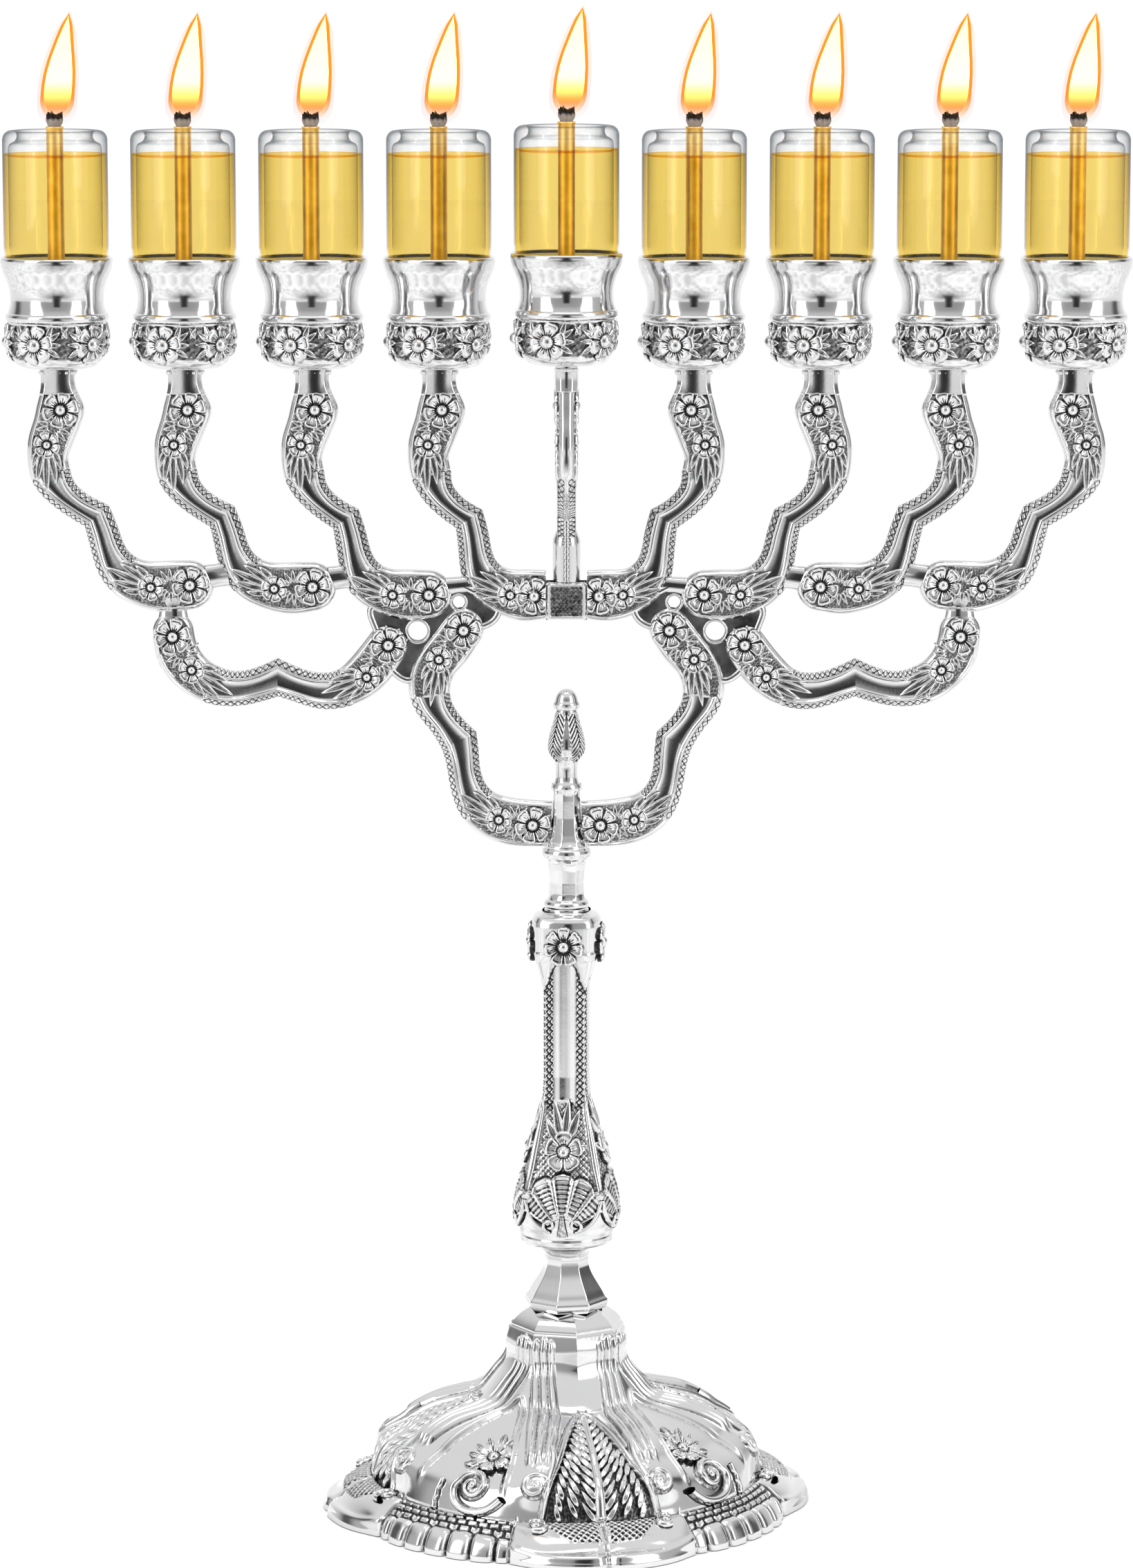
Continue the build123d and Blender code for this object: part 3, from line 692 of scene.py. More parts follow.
def make_shamash_arm(silver):
    spine = [(y - SHAMASH_LEAD, z + SHAMASH_RISE, half) for y, z, half in SHAMASH_SPINE]
    body = arm_body(spine, ARM_KINK, blooms=[UPPER_BLOOM], posts=[POST], round_end=False)
    rise = SHAMASH_RISE
    ornament = cluster((0.6 - SHAMASH_LEAD, 263.6 + rise), (-2.7 - SHAMASH_LEAD, 255.4 + rise), -88)
    surfaces = both_sides(body, ornament, (on_right_side, on_left_side))
    surfaces += beaded_collar(0, -SHAMASH_LEAD, COLLAR_LEVEL + rise, POST_HALF_DEPTH, POST_HALF_WIDTH)
    boss = bar((0.0, 223.2), (0.0, 236.2), 3.3, 3.6, waist=0.0)
    points, quads, shade = boss
    pointed = points.copy()
    above = smooth(232.5, 236.2, points[:, 2])
    pointed[:, 0] *= 1 - 0.35 * above
    pointed[:, 1] = 0.8 + points[:, 1] * (1 - 0.45 * above)
    surfaces.append((pointed, quads, shade))
    make_object("silver_shamash_arm", "shamash", surfaces, silver, ["shamash_arm"], "silver_plate")


# ---------------------------------------------------------------- turned and cast pieces
def profile_at(profile, steps):
    """Points along a (radius, level) profile about steps millimetres apart, keeping its corners."""
    rows = []
    for (r0, z0), (r1, z1) in zip(profile[:-1], profile[1:]):
        count = max(2, int(math.hypot(r1 - r0, z1 - z0) / steps))
        rows += [(r0 + (r1 - r0) * k / count, z0 + (z1 - z0) * k / count) for k in range(count)]
    return np.array(rows + [profile[-1]])


def rounded_profile(knots, steps):
    """Points about steps millimetres apart along a smooth curve through (radius, level) knots."""
    dense = through(knots, np.linspace(0, len(knots) - 1, 40 * len(knots)))
    length = lengths_along(dense)
    even = np.linspace(0, length[-1], max(3, int(length[-1] / steps)))
    return np.stack([np.interp(even, length, dense[:, 0]), np.interp(even, length, dense[:, 1])], axis=1)


def outward(profile):
    """The unit normals of a profile that runs upwards on its outside."""
    along = np.gradient(profile, axis=0)
    along /= np.linalg.norm(along, axis=1)[:, None] + 1e-9
    return np.stack([along[:, 1], -along[:, 0]], axis=1)


def octagon(angle, turn=0.0):
    """How much nearer the axis a flat-sided octagon's side is than its circumscribed circle."""
    eighth = np.pi / 4
    local = np.mod(angle - math.radians(turn) + eighth / 2, eighth) - eighth / 2
    return math.cos(eighth / 2) / np.cos(local)


def revolved(profile, relief=None, columns=192, shape=None):
    """A surface of revolution with relief(angle, level, radius) -> (height, tarnish) and a shape factor."""
    angle = all_round(columns)[None, :]
    normal = outward(profile)
    radius, level = profile[:, :1], profile[:, 1:]
    height, shade = relief(angle, level, radius) if relief else (0.0, 0.0)
    if shape is not None:
        radius = radius * shape(angle, level)
    r = radius + normal[:, :1] * height
    z = level + normal[:, 1:] * height + 0 * angle
    points = np.stack([r * np.cos(angle), r * np.sin(angle), z], axis=-1)
    return sheet(points, shade, wrap=True)


# ---------------------------------------------------------------- cups
CUP_FLOWERS = 5
CUP_TURN = -23.0
CUP_BAND_R = 11.4
CUP_BAND_LEVEL = 279.3


def cup_surfaces():
    """One cup: a flared polished rim over a band of flowers."""
    bottom = [(1.6, 273.3), (6.8, 273.3), (8.6, 273.7), (9.9, 274.7), (10.8, 276.2), (11.3, 278.4)]
    bottom += [(11.45, 281.2), (11.45, 284.2)]
    bead = [(11.45, 284.2), (11.9, 284.6), (12.05, 285.2), (11.95, 285.9), (11.55, 286.3)]
    flare = [(11.55, 286.3), (11.0, 288.0), (10.85, 289.8), (11.1, 291.8), (11.9, 294.2), (12.7, 296.2)]
    flare += [(13.05, 297.8)]
    lip = [(13.05, 297.8), (13.12, 298.6), (12.95, 299.15), (12.7, 299.3), (12.5, 299.1), (12.4, 298.4)]
    band = rounded_profile(bottom, 0.22)

    def band_relief(angle, level, radius):
        inside_band = smooth(274.6, 275.6, level) * (1 - smooth(283.4, 283.9, level))
        pits = np.sin(angle * 90 + level * 5) * np.sin(level * 9 + angle * 60)
        wave = np.cos(angle * CUP_FLOWERS / 2 - math.radians(CUP_TURN) * CUP_FLOWERS / 2)
        scallop = 275.1 + 1.1 * np.abs(wave)
        mask = inside_band * smooth(-0.25, 0.25, level - scallop)
        return -0.3 * mask + 0.05 * pits * mask, mask * (0.6 + 0.15 * pits)

    surfaces = [revolved(band, band_relief, 320)]
    for part, steps in ((bead, 0.2), (flare, 0.35), (lip, 0.2)):
        surfaces.append(revolved(rounded_profile(part, steps), None, 160))

    def on_cup(across, up, out):
        z = CUP_BAND_LEVEL + up
        radius = np.interp(z, band[:, 1], band[:, 0]) + out
        return radius * np.cos(across), radius * np.sin(across), z

    for k in range(CUP_FLOWERS):
        middle = math.radians(-90 + CUP_TURN + k * 360 / CUP_FLOWERS)
        ornament = flower(0, 0, 4.7, -0.3, 1.3, petals=6, turn=12 + 9 * k, eye=0.36, ink=1.35)
        between = CUP_BAND_R * math.pi / CUP_FLOWERS
        for side in (-1, 1):
            for angle, length, up in ((72, 3.6, 1.5), (38, 3.7, 0.9), (4, 3.2, 0.0), (-34, 3.5, -0.9)):
                tip = 90 - side * (90 - angle)
                ornament.append(leaf(side * 3.3, up, tip, length, 1.6, -0.3, 0.9))
            ornament.append(leaf(side * (between - 0.6), 1.6, 90 - side * 28, 3.0, 1.1, -0.3, 0.9))
        for surface in ornament:
            points, quads, shade = surface
            rolled = np.stack([middle + points[:, 0] / CUP_BAND_R, points[:, 1], points[:, 2]], axis=-1)
            surfaces.append(mapped((rolled, quads, shade), on_cup))
    return surfaces


def make_cups(silver, satin):
    inside = [(2.0, 278.0), (9.9, 278.0), (9.9, 290.2), (10.5, 292.6), (11.6, 295.2), (12.4, 298.4)]
    lining = flipped(revolved(profile_at(inside, 1.5), None, 96))
    first = None
    for number in range(1, 10):
        body = "shamash" if number == SHAMASH else "stand"
        at = light_at(number)
        if first is None:
            surfaces = cup_surfaces()
            first = make_object("silver_cup_1", body, surfaces, silver, ["cup_1"], "silver_plate", at).data
            second = make_object("cup_lining_1", body, [lining], satin, ["cup_1"], "silver_plate", at).data
        else:
            add_object(f"silver_cup_{number}", first, body, [f"cup_{number}"], "silver_plate", at)
            add_object(f"cup_lining_{number}", second, body, [f"cup_{number}"], "silver_plate", at)


# ---------------------------------------------------------------- hub, finial and knop
def make_hub(silver):
    profile = [(3.45, 175.0), (3.7, 174.4), (3.7, 173.8), (3.35, 173.2), (3.35, 171.2), (3.5, 167.0)]
    profile += [(4.0, 163.2), (5.0, 160.8), (5.25, 160.3), (5.2, 159.9), (5.65, 159.5), (5.85, 158.6)]
    profile += [(5.6, 157.6), (5.0, 157.1), (4.75, 156.6), (4.4, 154.5), (4.15, 151.5), (4.3, 148.4)]
    profile += [(4.5, 147.4), (5.0, 147.2), (5.35, 146.6), (5.35, 145.9), (5.1, 145.4), (5.3, 144.8)]
    rows = profile_at(profile[::-1], 0.3)

    def facets(angle, level):
        share = smooth(147.2, 149, level) * (1 - smooth(156.0, 157, level))
        share = share + smooth(160.4, 161.5, level) * (1 - smooth(172.6, 173.4, level))
        return 1 - 0.85 * share * (1 - octagon(angle, 9))

    plated("silver_hub", [revolved(rows, None, 160, facets)], silver, "hub")


def make_finial(silver):
    body = [(3.3, 175.0), (2.9, 175.6), (2.6, 177.4), (2.6, 179.0), (3.0, 180.6), (4.0, 182.0), (4.5, 183.4)]
    body += [(4.4, 185.2), (3.9, 187.2), (3.2, 189.4), (2.7, 191.4), (2.5, 192.7)]
    cap = [(2.5, 192.7), (3.0, 192.9), (3.15, 193.5), (3.1, 194.3), (2.85, 194.7), (2.6, 195.5), (2.0, 196.7)]
    cap += [(1.0, 197.5), (0.02, 197.7)]

    def feather(angle, level, radius):
        quarter = np.pi / 2
        local = np.mod(angle + np.pi / 2, quarter) - quarter / 2
        across = np.abs(local) * radius
        reach = 2.5 * np.sqrt(np.clip((level - 180.2) / 3.0, 0, 1)) * (1 - 0.25 * smooth(186, 192, level))
        mask = smooth(0.0, 0.3, reach - across) * (1 - smooth(191.6, 192.3, level))
        stroke = 0.5 + 0.5 * np.cos(2 * np.pi * (level + across * 1.3) / 1.15)
        spine = bell(across, 0, 0.18)
        height = mask * (-0.16 + 0.34 * stroke**0.7 * (1 - spine))
        return height, mask * np.clip(1.05 - 1.6 * stroke + 0.9 * spine, 0, 1)

    surfaces = [revolved(rounded_profile(body, 0.14), feather, 256)]
    surfaces.append(revolved(rounded_profile(cap, 0.2), None, 96))
    plated("silver_finial", surfaces, silver, "finial")


def make_knop(silver):
    profile = [(9.3, 48.3), (9.9, 49.0), (10.15, 49.8), (10.1, 50.5), (9.6, 51.1), (8.9, 52.3)]
    profile += [(8.1, 53.6), (7.2, 55.0), (6.2, 56.7), (5.6, 58.2), (5.35, 59.7), (5.45, 61.2)]
    profile += [(6.1, 62.4), (7.6, 63.5), (9.3, 64.3), (9.6, 64.6)]

    def facets(angle, level):
        share = 1 - 0.75 * smooth(60.5, 63.5, level)
        return 1 - share * (1 - octagon(angle, BASE_TURN + 22.5 + 22.5))

    rows = rounded_profile(profile, 0.3)
    plated("silver_knop", [revolved(rows, None, 256, facets)], silver, "knop")


# ---------------------------------------------------------------- stem
STEM_SHAPE = [
    # level, half width, squareness (2 is a circle)
    (64.6, 10.7, 2.0),
    (65.2, 11.15, 2.0),
    (66.3, 11.2, 2.0),
    (66.8, 11.0, 2.0),
    (67.3, 11.2, 2.0),
    (70.0, 12.15, 2.0),
    (72.5, 12.55, 2.05),
    (75.0, 12.55, 2.15),
    (78.0, 11.9, 2.4),
    (82.0, 10.4, 2.9),
    (86.0, 9.05, 3.6),
    (90.0, 7.9, 4.4),
    (95.0, 6.5, 5.5),
    (100.0, 5.4, 7.0),
    (105.0, 5.15, 8.0),
    (128.0, 5.15, 8.0),
    (144.8, 5.15, 8.0),
]


def stem_radius(angle, level):
    """The stem's distance from its axis, before its relief. angle is measured from a face's middle."""
    table = np.array(STEM_SHAPE)
    half = np.interp(level, table[:, 0], table[:, 1])
    power = np.interp(level, table[:, 0], table[:, 2])
    return half / (np.abs(np.cos(angle)) ** power + np.abs(np.sin(angle)) ** power) ** (1 / power)


def shell_relief(across, level):
    """The ribbed palmette on the bulb: five fluted lobes that fan up from two scrolls."""
    x, y = across, level - 68.8
    reach = np.hypot(x, y)
    angle = np.degrees(np.arctan2(x, y))
    lobe = to_line(angle / 25.0)
    rim = 14.2 - 2.2 * (np.abs(angle) / 62.0) ** 2 - 1.1 * (2 * lobe) ** 3
    mask = smooth(0.0, 0.5, rim - reach) * (1 - smooth(62, 64, np.abs(angle))) * smooth(3.2, 4.0, reach)
    rib = smooth(0.32, 0.46, lobe)
    stripe = 0.5 + 0.5 * np.cos(2 * np.pi * reach / 1.05)
    ladder = (1 - rib) * stripe * (1 - smooth(1.2, 2.2, reach - rim + 3.2)) * smooth(4.0, 5.0, reach)
    border = bell(rim - reach, 0.55, 0.45)
    height = mask * (0.35 + 0.4 * rib + 0.35 * border - 0.3 * ladder)
    shade = mask * np.clip(0.75 * ladder + 0.6 * bell(lobe, 0.3, 0.04), 0, 1)
    shade = shade + 0.8 * bell(rim - reach, -0.1, 0.25)
    return height, np.clip(shade * (np.abs(angle) < 66) * (reach > 3), 0, 1), mask


def stem_relief(angle, level):
    """Height and tarnish all round the stem."""
    radius = stem_radius(angle, level)
    across = radius * np.sin(angle)
    wide = np.abs(across)
    column = smooth(96.5, 99, level) * (1 - smooth(134, 135, level))
    strip = smooth(2.75, 2.95, wide) * (1 - smooth(4.55, 4.75, wide))
    cells = hatch(level, across * 1.05, 1.55, 0.26)
    crowned = 1 + 0.12 * (1 - np.clip(wide / 1.25, 0, 1) ** 2)
    height = column * -0.6 * (1 - smooth(1.25, 2.65, wide)) * crowned
    height = height + column * strip * (0.1 - 0.4 * cells)
    shade = column * strip * np.clip(1.25 * cells, 0, 1)
    shade = shade + column * 0.5 * bell(wide, 2.75, 0.12)
    bulb = smooth(67.5, 69.5, level) * (1 - smooth(98, 100, level))
    half = np.interp(level, [66, 72, 78, 84, 90, 98, 104], [9.4, 9.3, 8.7, 7.2, 6.1, 4.9, 4.7])
    ridge = bell(wide, half, 0.4) * smooth(72, 77, level) * (1 - smooth(99, 102, level))
    shell, shell_shade, shell_mask = shell_relief(across, level)
    field = bulb * smooth(0.2, 0.6, half - wide) * smooth(77.5, 80, level) * (1 - shell_mask)
    grain = hatch(level, across, 1.4, 0.17)
    height = height + 0.4 * ridge + 0.75 * shell * bulb + field * (-0.1 - 0.25 * grain) - 0.35 * bulb
    shade = shade + shell_shade * bulb + field * (0.22 + 0.55 * grain)
    hem = 133.2 - 7.0 * smooth(1.2, 5.0, wide) ** 1.3
    collar = smooth(-0.5, 0.9, level - hem)
    levels = [125, 129, 132, 135, 141.4, 142.8, 143.8, 144.4, 144.8]
    swell = np.interp(level, levels, [0.5, 0.9, 1.9, 3.0, 3.2, 3.0, 2.4, 1.0, 0.6])
    height = height * (1 - collar) + collar * swell * (1 + 0 * wide)
    shade = shade * (1 - collar) + 0.9 * bell(level - hem, -0.45, 0.35) * (level < 134)
    return height, np.clip(shade, 0, 1)


def stem_part(low, high, steps, columns):
    """The stem's surface between two levels."""
    level = np.linspace(low, high, int((high - low) / steps))[:, None]
    angle = all_round(columns)[None, :]
    local = np.mod(angle + np.pi / 4, np.pi / 2) - np.pi / 4
    height, shade = stem_relief(local, level)
    soften = smooth(133, 136, level)
    radius = stem_radius(local, level)
    table = np.array(STEM_SHAPE)
    square = radius / np.interp(level, table[:, 0], table[:, 1])
    rounder = 1 + (square - 1) * (1 - 0.45 * soften)
    radius = radius / square * rounder + height
    turn = angle + math.radians(STEM_TURN)
    points = np.stack([radius * np.cos(turn), radius * np.sin(turn), level + 0 * angle], axis=-1)
    return sheet(points, shade, wrap=True)


def on_stem(face, out_at):
    """A map onto one of the stem's four faces. out_at gives the face's distance from the axis at a level."""
    turn = math.radians(STEM_TURN - 90 + 90 * face)

    def place(across, level, out):
        depth = out_at(level, across) + out
        c, s = math.cos(turn), math.sin(turn)
        return depth * c - across * s, depth * s + across * c, level

    return place


def make_stem(silver):
    lower = [stem_part(64.6, 101.0, 0.24, 300)]
    upper = [stem_part(101.0, 144.8, 0.24, 300)]

    def bulb_face(level, across):
        angle = np.arcsin(np.clip(across / stem_radius(0.0 * level, level), -0.7, 0.7))
        return stem_radius(angle, level) * np.cos(angle)

    def collar_face(level, across):
        return 8.05 - 0.012 * across**2 * smooth(2, 6, np.abs(across))

    for face in range(4):
        place = on_stem(face, bulb_face)
        ornament = flower(0, 88.0, 4.9, -0.25, 1.25, petals=5, turn=90)
        for angle, length in ((58, 7.0), (82, 8.6), (108, 8.8), (134, 6.0), (200, 3.6), (-20, 3.6)):
            x, up = 2.6 * unit(angle)
            ornament.append(leaf(x, 88.8 + up, 90 + (angle - 90) * 0.6, length, 2.5, -0.3, 1.0))
        for side in (-1, 1):
            path = spiral(side * 3.1, 70.6, 1.7, 1.1, -90, -side, inner=0.2, count=40)
            knots = [path[-1], (side * 5.6, 70.0), (side * 8.0, 72.6), (side * 9.0, 76.4)]
            tail = through(knots, np.linspace(0, 3, 30))
            ornament.append(cord(np.concatenate([path, tail[1:]]), 0.9, 0.15, 0.6))
        stalk = through([(0, 67.8), (0, 70.2), (0, 73.0)], np.linspace(0, 2, 12))
        ornament.append(cord(stalk, np.linspace(2.6, 0.9, 12), 0.0, 0.5, shade=0.4))
        lower += [mapped(surface, place) for surface in ornament]
        place = on_stem(face, collar_face)
        bloom = flower(0, 137.2, 4.9, -0.1, 1.2, petals=7, turn=90, ink=1.7)
        upper += [mapped(surface, place) for surface in bloom]
    plated("silver_stem_bulb", lower, silver, "stem")
    plated("silver_stem_column", upper, silver, "stem")


# ---------------------------------------------------------------- base
BASE_PROFILE = [
    (8.6, 48.3),
    (11.0, 46.8),
    (12.9, 44.6),
    (13.6, 42.0),
    (13.8, 39.0),
    (14.6, 36.0),
    (16.5, 33.0),
    (19.5, 30.8),
    (24.0, 28.6),
    (29.0, 26.6),
    (34.0, 24.4),
    (38.5, 21.6),
    (42.0, 18.0),
    (44.6, 14.0),
    (46.0, 10.0),
    (46.6, 8.0),
    (50.0, 7.2),
    (54.0, 5.2),
    (57.0, 3.0),
    (58.3, 1.2),
    (58.3, 0.0),
]
FEATHER_RIM = 58.3
FLOWER_RIM = 54.0
VALLEY_RIM = 52.6
FLANGE_START = 46.6
LOBE_HALF = 25.0  # half the angle that a feather lobe of the rim takes
BLOCK_PITCH = 6.6  # degrees
DASH_PITCH = 1.45
BLOCK_START = 50.8


def base_curve(steps):
    """The base's middle profile as rows about steps millimetres apart, with normals and lengths."""
    upper = rounded_profile(BASE_PROFILE[:16], steps)
    lower = rounded_profile(BASE_PROFILE[15:-1], steps)
    skirt = np.array([(FEATHER_RIM, 0.8), (FEATHER_RIM, 0.4), (FEATHER_RIM, 0.0)])
    return np.concatenate([upper, lower[1:], skirt])


def rim_reach(local):
    """The base's outer radius. local is the angle from a feather panel's middle, in degrees, -45 to 45."""
    wide = np.abs(local)
    lobe = np.clip(1 - (wide / LOBE_HALF) ** 2, 0, 1) ** 0.6
    feather = VALLEY_RIM + (FEATHER_RIM - VALLEY_RIM) * lobe - 1.1 * bell(local, 0, 1.6)
    bloom = FLOWER_RIM - (FLOWER_RIM - VALLEY_RIM) * (np.abs(wide - 45) / (45 - LOBE_HALF)) ** 4
    gaps = bell(to_line((wide - 45) / BLOCK_PITCH + 0.5), 0, 0.1)
    return np.where(wide < LOBE_HALF, feather, bloom - 0.8 * gaps)


def pitted(x, y):
    """A small irregular ripple, for grounds that were matted with a punch."""
    return np.sin(x * 7.9 + np.sin(y * 6)) * np.sin(y * 7.1 + np.cos(x * 6.4))


RIB_ANGLES = [33.0, 28.0, 23.0, 20.5, 19.5]
VOLUTE_TURN = 19.6  # the volutes at the ribs' feet, in degrees from the feather panel's middle
# half the width of a feather panel, by radius
FEATHER_FIELD = ([22, 24, 28, 32, 36, 40, 44, 46.6], [-1.0, 1.5, 3.6, 5.2, 6.7, 8.6, 11.2, 13.4])


def panel_sink(radius):
    """How far the base's waist lies inside its middle surface, between the ribs."""
    return 2.3 * smooth(16, 23, radius) * (1 - smooth(39, 45, radius))


def base_relief(local, radius, level):
    """Height out of the base's middle surface, and tarnish, over one quarter of the base."""
    wide = np.abs(local)
    arc = radius * np.radians(local)
    height, shade = np.zeros_like(arc), np.zeros_like(arc)
    # eight bundles of three reeds between the panels, standing on swelling ribs
    side = radius * np.radians(wide - np.interp(radius, [13.6, 18, 24, 32, 40], RIB_ANGLES))
    reed = np.interp(radius, [13.5, 18, 24, 32, 40], [1.72, 2.2, 2.7, 2.55, 2.1])
    reeds = np.cos(np.pi * to_line(side / reed)) ** 0.8 * smooth(1.52, 1.46, np.abs(side) / reed)
    arch = 43.4 - 0.9 * (2 * to_line(side / reed)) ** 2 - 0.7 * (np.abs(side) > reed / 2)
    run = smooth(arch + 0.25, arch - 0.25, level) * (1 - smooth(38.0, 41.0, radius))
    field = np.interp(radius, *FEATHER_FIELD)
    upper = smooth(21.5, 23.0, radius) * (1 - smooth(46.2, 46.9, radius)) * (wide < 22.5)
    inside = upper * smooth(-0.2, 0.4, field - np.abs(arc))
    swell = bell(side, 0, 5.6) * smooth(20, 33, radius) * (1 - smooth(43.5, 46.4, radius)) * (1 - inside)
    height += run * (0.2 + 0.95 * reeds) * smooth(1.65, 1.5, np.abs(side) / reed) + 1.7 * swell
    height -= panel_sink(radius)
    height += 0.6 * bell(level, 40, 2.5)
    valley = smooth(0.40, 0.5, to_line(side / reed)) * (np.abs(side) < reed * 1.58)
    shade += run * valley * 0.55
    # the feather panel: a pointed field with a smooth middle rib
    rib_half = np.interp(radius, [23, 46], [0.6, 1.15])
    rib = np.sqrt(np.clip(1 - (arc / (rib_half + 0.3)) ** 2, 0, 1)) * smooth(22.5, 24.5, radius)
    height += inside * (-0.45 + 1.6 * rib)
    shade += inside * (rib < 0.3) * (0.72 + 0.1 * pitted(arc, radius))
    height += 0.75 * upper * bell(np.abs(arc), field + 0.75, 0.6)
    shade += 0.6 * upper * bell(np.abs(arc), field + 1.75, 0.25)
    # the feather lobe of the flange: lattice beside the crease, then a smooth hollow inside a raised lip
    edge = rim_reach(local) - radius
    lobe = (wide < 24.5) * smooth(46.6, 47.4, radius)
    patch = lobe * smooth(1.0, 1.4, np.abs(arc)) * smooth(14.6, 14.0, np.abs(arc) + 0.9 * (radius - 47))
    patch = patch * smooth(54.4, 53.8, radius + 0.1 * np.abs(arc))
    cells = hatch(arc + 0.15 * radius * np.sign(arc), radius * 1.1, 1.7, 0.3)
    height += lobe * (0.35 - 0.75 * bell(radius, 55.4, 1.5)) + patch * (-0.15 + 0.5 * cells)
    shade += patch * np.clip(1.05 - 1.3 * cells, 0, 1)
    height += 0.55 * smooth(46.9, 47.6, radius) * bell(edge, 1.0, 0.6) * (wide < 24.5)
    crease = bell(arc, 0, 0.28) * smooth(47.5, 48.5, radius)
    height -= 0.5 * crease
    shade += 0.5 * crease + 0.8 * (wide < 24.5) * bell(radius, 46.8, 0.3) * (np.abs(arc) > 1.2)
    cleft = bell(wide, 24.6, 0.35) * smooth(46, 48, radius)
    height -= 0.7 * cleft
    shade += 0.6 * cleft
    # the flower panel: two ridges that meet in a point, over a smooth field
    around = radius * np.radians(wide - 45)
    spread = np.interp(radius, [19, 24, 30, 36, 42, 46], [0.0, 3.2, 6.2, 9.0, 11.4, 12.6])
    panel = smooth(18.5, 20.5, radius) * (1 - smooth(42.0, 45.5, radius)) * (wide > 24)
    field = smooth(0, 1.5, spread - np.abs(around))
    height += panel * (0.8 * bell(np.abs(around), spread, 0.7) - 0.3 * field)
    shade += 0.45 * panel * bell(np.abs(around), spread - 1.2, 0.22)
    # the flower lobe of the flange: a row of dashes, then rounded blocks on the rim
    other = (wide > LOBE_HALF) * smooth(46.3, 46.9, radius)
    number = (wide - 45) / BLOCK_PITCH
    block = smooth(0.0, 0.05, 0.48 - to_line(number)) * smooth(BLOCK_START, 51.0, radius)
    pillow = np.sqrt(np.clip(1 - (2.05 * to_line(number)) ** 4, 0, 1))
    pillow = pillow * np.sqrt(np.clip((radius - 50.7) / 1.3, 0, 1))
    row = (radius - 46.5) / DASH_PITCH
    dash = smooth(0.0, 0.1, 0.4 - to_line(number * 2 + 0.5 * np.floor(row)))
    dash = dash * smooth(0.0, 0.15, 0.36 - to_line(row - 0.5)) * (radius < 50.85)
    height += other * (1.2 * pillow * block + 0.55 * dash - 0.25)
    shade += other * np.clip(0.8 * (1 - np.maximum(block * smooth(0.05, 0.35, pillow), dash)), 0, 1)
    high = smooth(44.0, 44.6, level)
    groove = 0.3 * bell(level, 44.2, 0.25)
    return height * (1 - high) - groove, np.clip(shade * (1 - high), 0, 1)


BASE_ROWS = base_curve(0.23)
BASE_NORMALS = outward(BASE_ROWS[::-1])[::-1]
BASE_LENGTHS = lengths_along(BASE_ROWS)


def base_surface(turn, low, high):
    """The base's top between two angles from the middle of the feather panel at turn degrees."""
    local = np.linspace(low, high, 200)[None, :]
    radius, level = BASE_ROWS[:, :1] + 0 * local, BASE_ROWS[:, 1:] + 0 * local
    beyond, reach = radius - FLANGE_START, rim_reach(local) - FLANGE_START
    plan = np.where(beyond > 0, FLANGE_START + beyond * reach / (FEATHER_RIM - FLANGE_START), radius)
    height, shade = base_relief(local, plan, level)
    facet = octagon(np.radians(local), 22.5) / math.cos(np.pi / 8)
    flat = smooth(30.0, 42.0, level)
    r = plan * (1 + flat * (facet * 0.955 - 1)) + BASE_NORMALS[:, :1] * height
    z = np.maximum(level + BASE_NORMALS[:, 1:] * height, 0.0)
    angle = np.radians(local + turn)
    return flipped(sheet(np.stack([r * np.cos(angle), r * np.sin(angle), z], axis=-1), shade))


def on_base(middle):
    """A map onto the base: across is the arc, up is minus the length along the profile from its top."""
    turn = math.radians(middle)

    def place(across, up, out):
        length = -up
        radius = np.interp(length, BASE_LENGTHS, BASE_ROWS[:, 0])
        level = np.interp(length, BASE_LENGTHS, BASE_ROWS[:, 1])
        nr = np.interp(length, BASE_LENGTHS, BASE_NORMALS[:, 0])
        nz = np.interp(length, BASE_LENGTHS, BASE_NORMALS[:, 1])
        angle = turn + across / np.maximum(radius, 10)
        sink = panel_sink(radius)
        reach = radius + nr * (out - sink)
        return reach * np.cos(angle), reach * np.sin(angle), np.maximum(level + nz * (out - sink), 0.1)

    return place


def length_at(radius):
    """The up coordinate of a radius on the base."""
    return -float(np.interp(radius, BASE_ROWS[:, 0], BASE_LENGTHS))


def feather_half(up):
    """Half the width of a feather panel, at an up coordinate."""
    return np.interp(np.interp(-up, BASE_LENGTHS, BASE_ROWS[:, 0]), *FEATHER_FIELD)


def barb(side, share, up, tilt, longest):
    """A leaf of a feather panel. It leans outward, and is as long as the panel has room for."""
    across, lean, length = max(share * feather_half(up), 0.75), math.radians(tilt), longest

    def too_wide():
        return across + length * math.sin(lean) > feather_half(up + length * math.cos(lean)) + 0.3

    while length > 2.4 and too_wide():
        length -= 0.3
    return leaf(side * across, up, 90 - side * tilt, length, 1.6, -0.35, 1.35, curl=side * 10, veined=0.15)


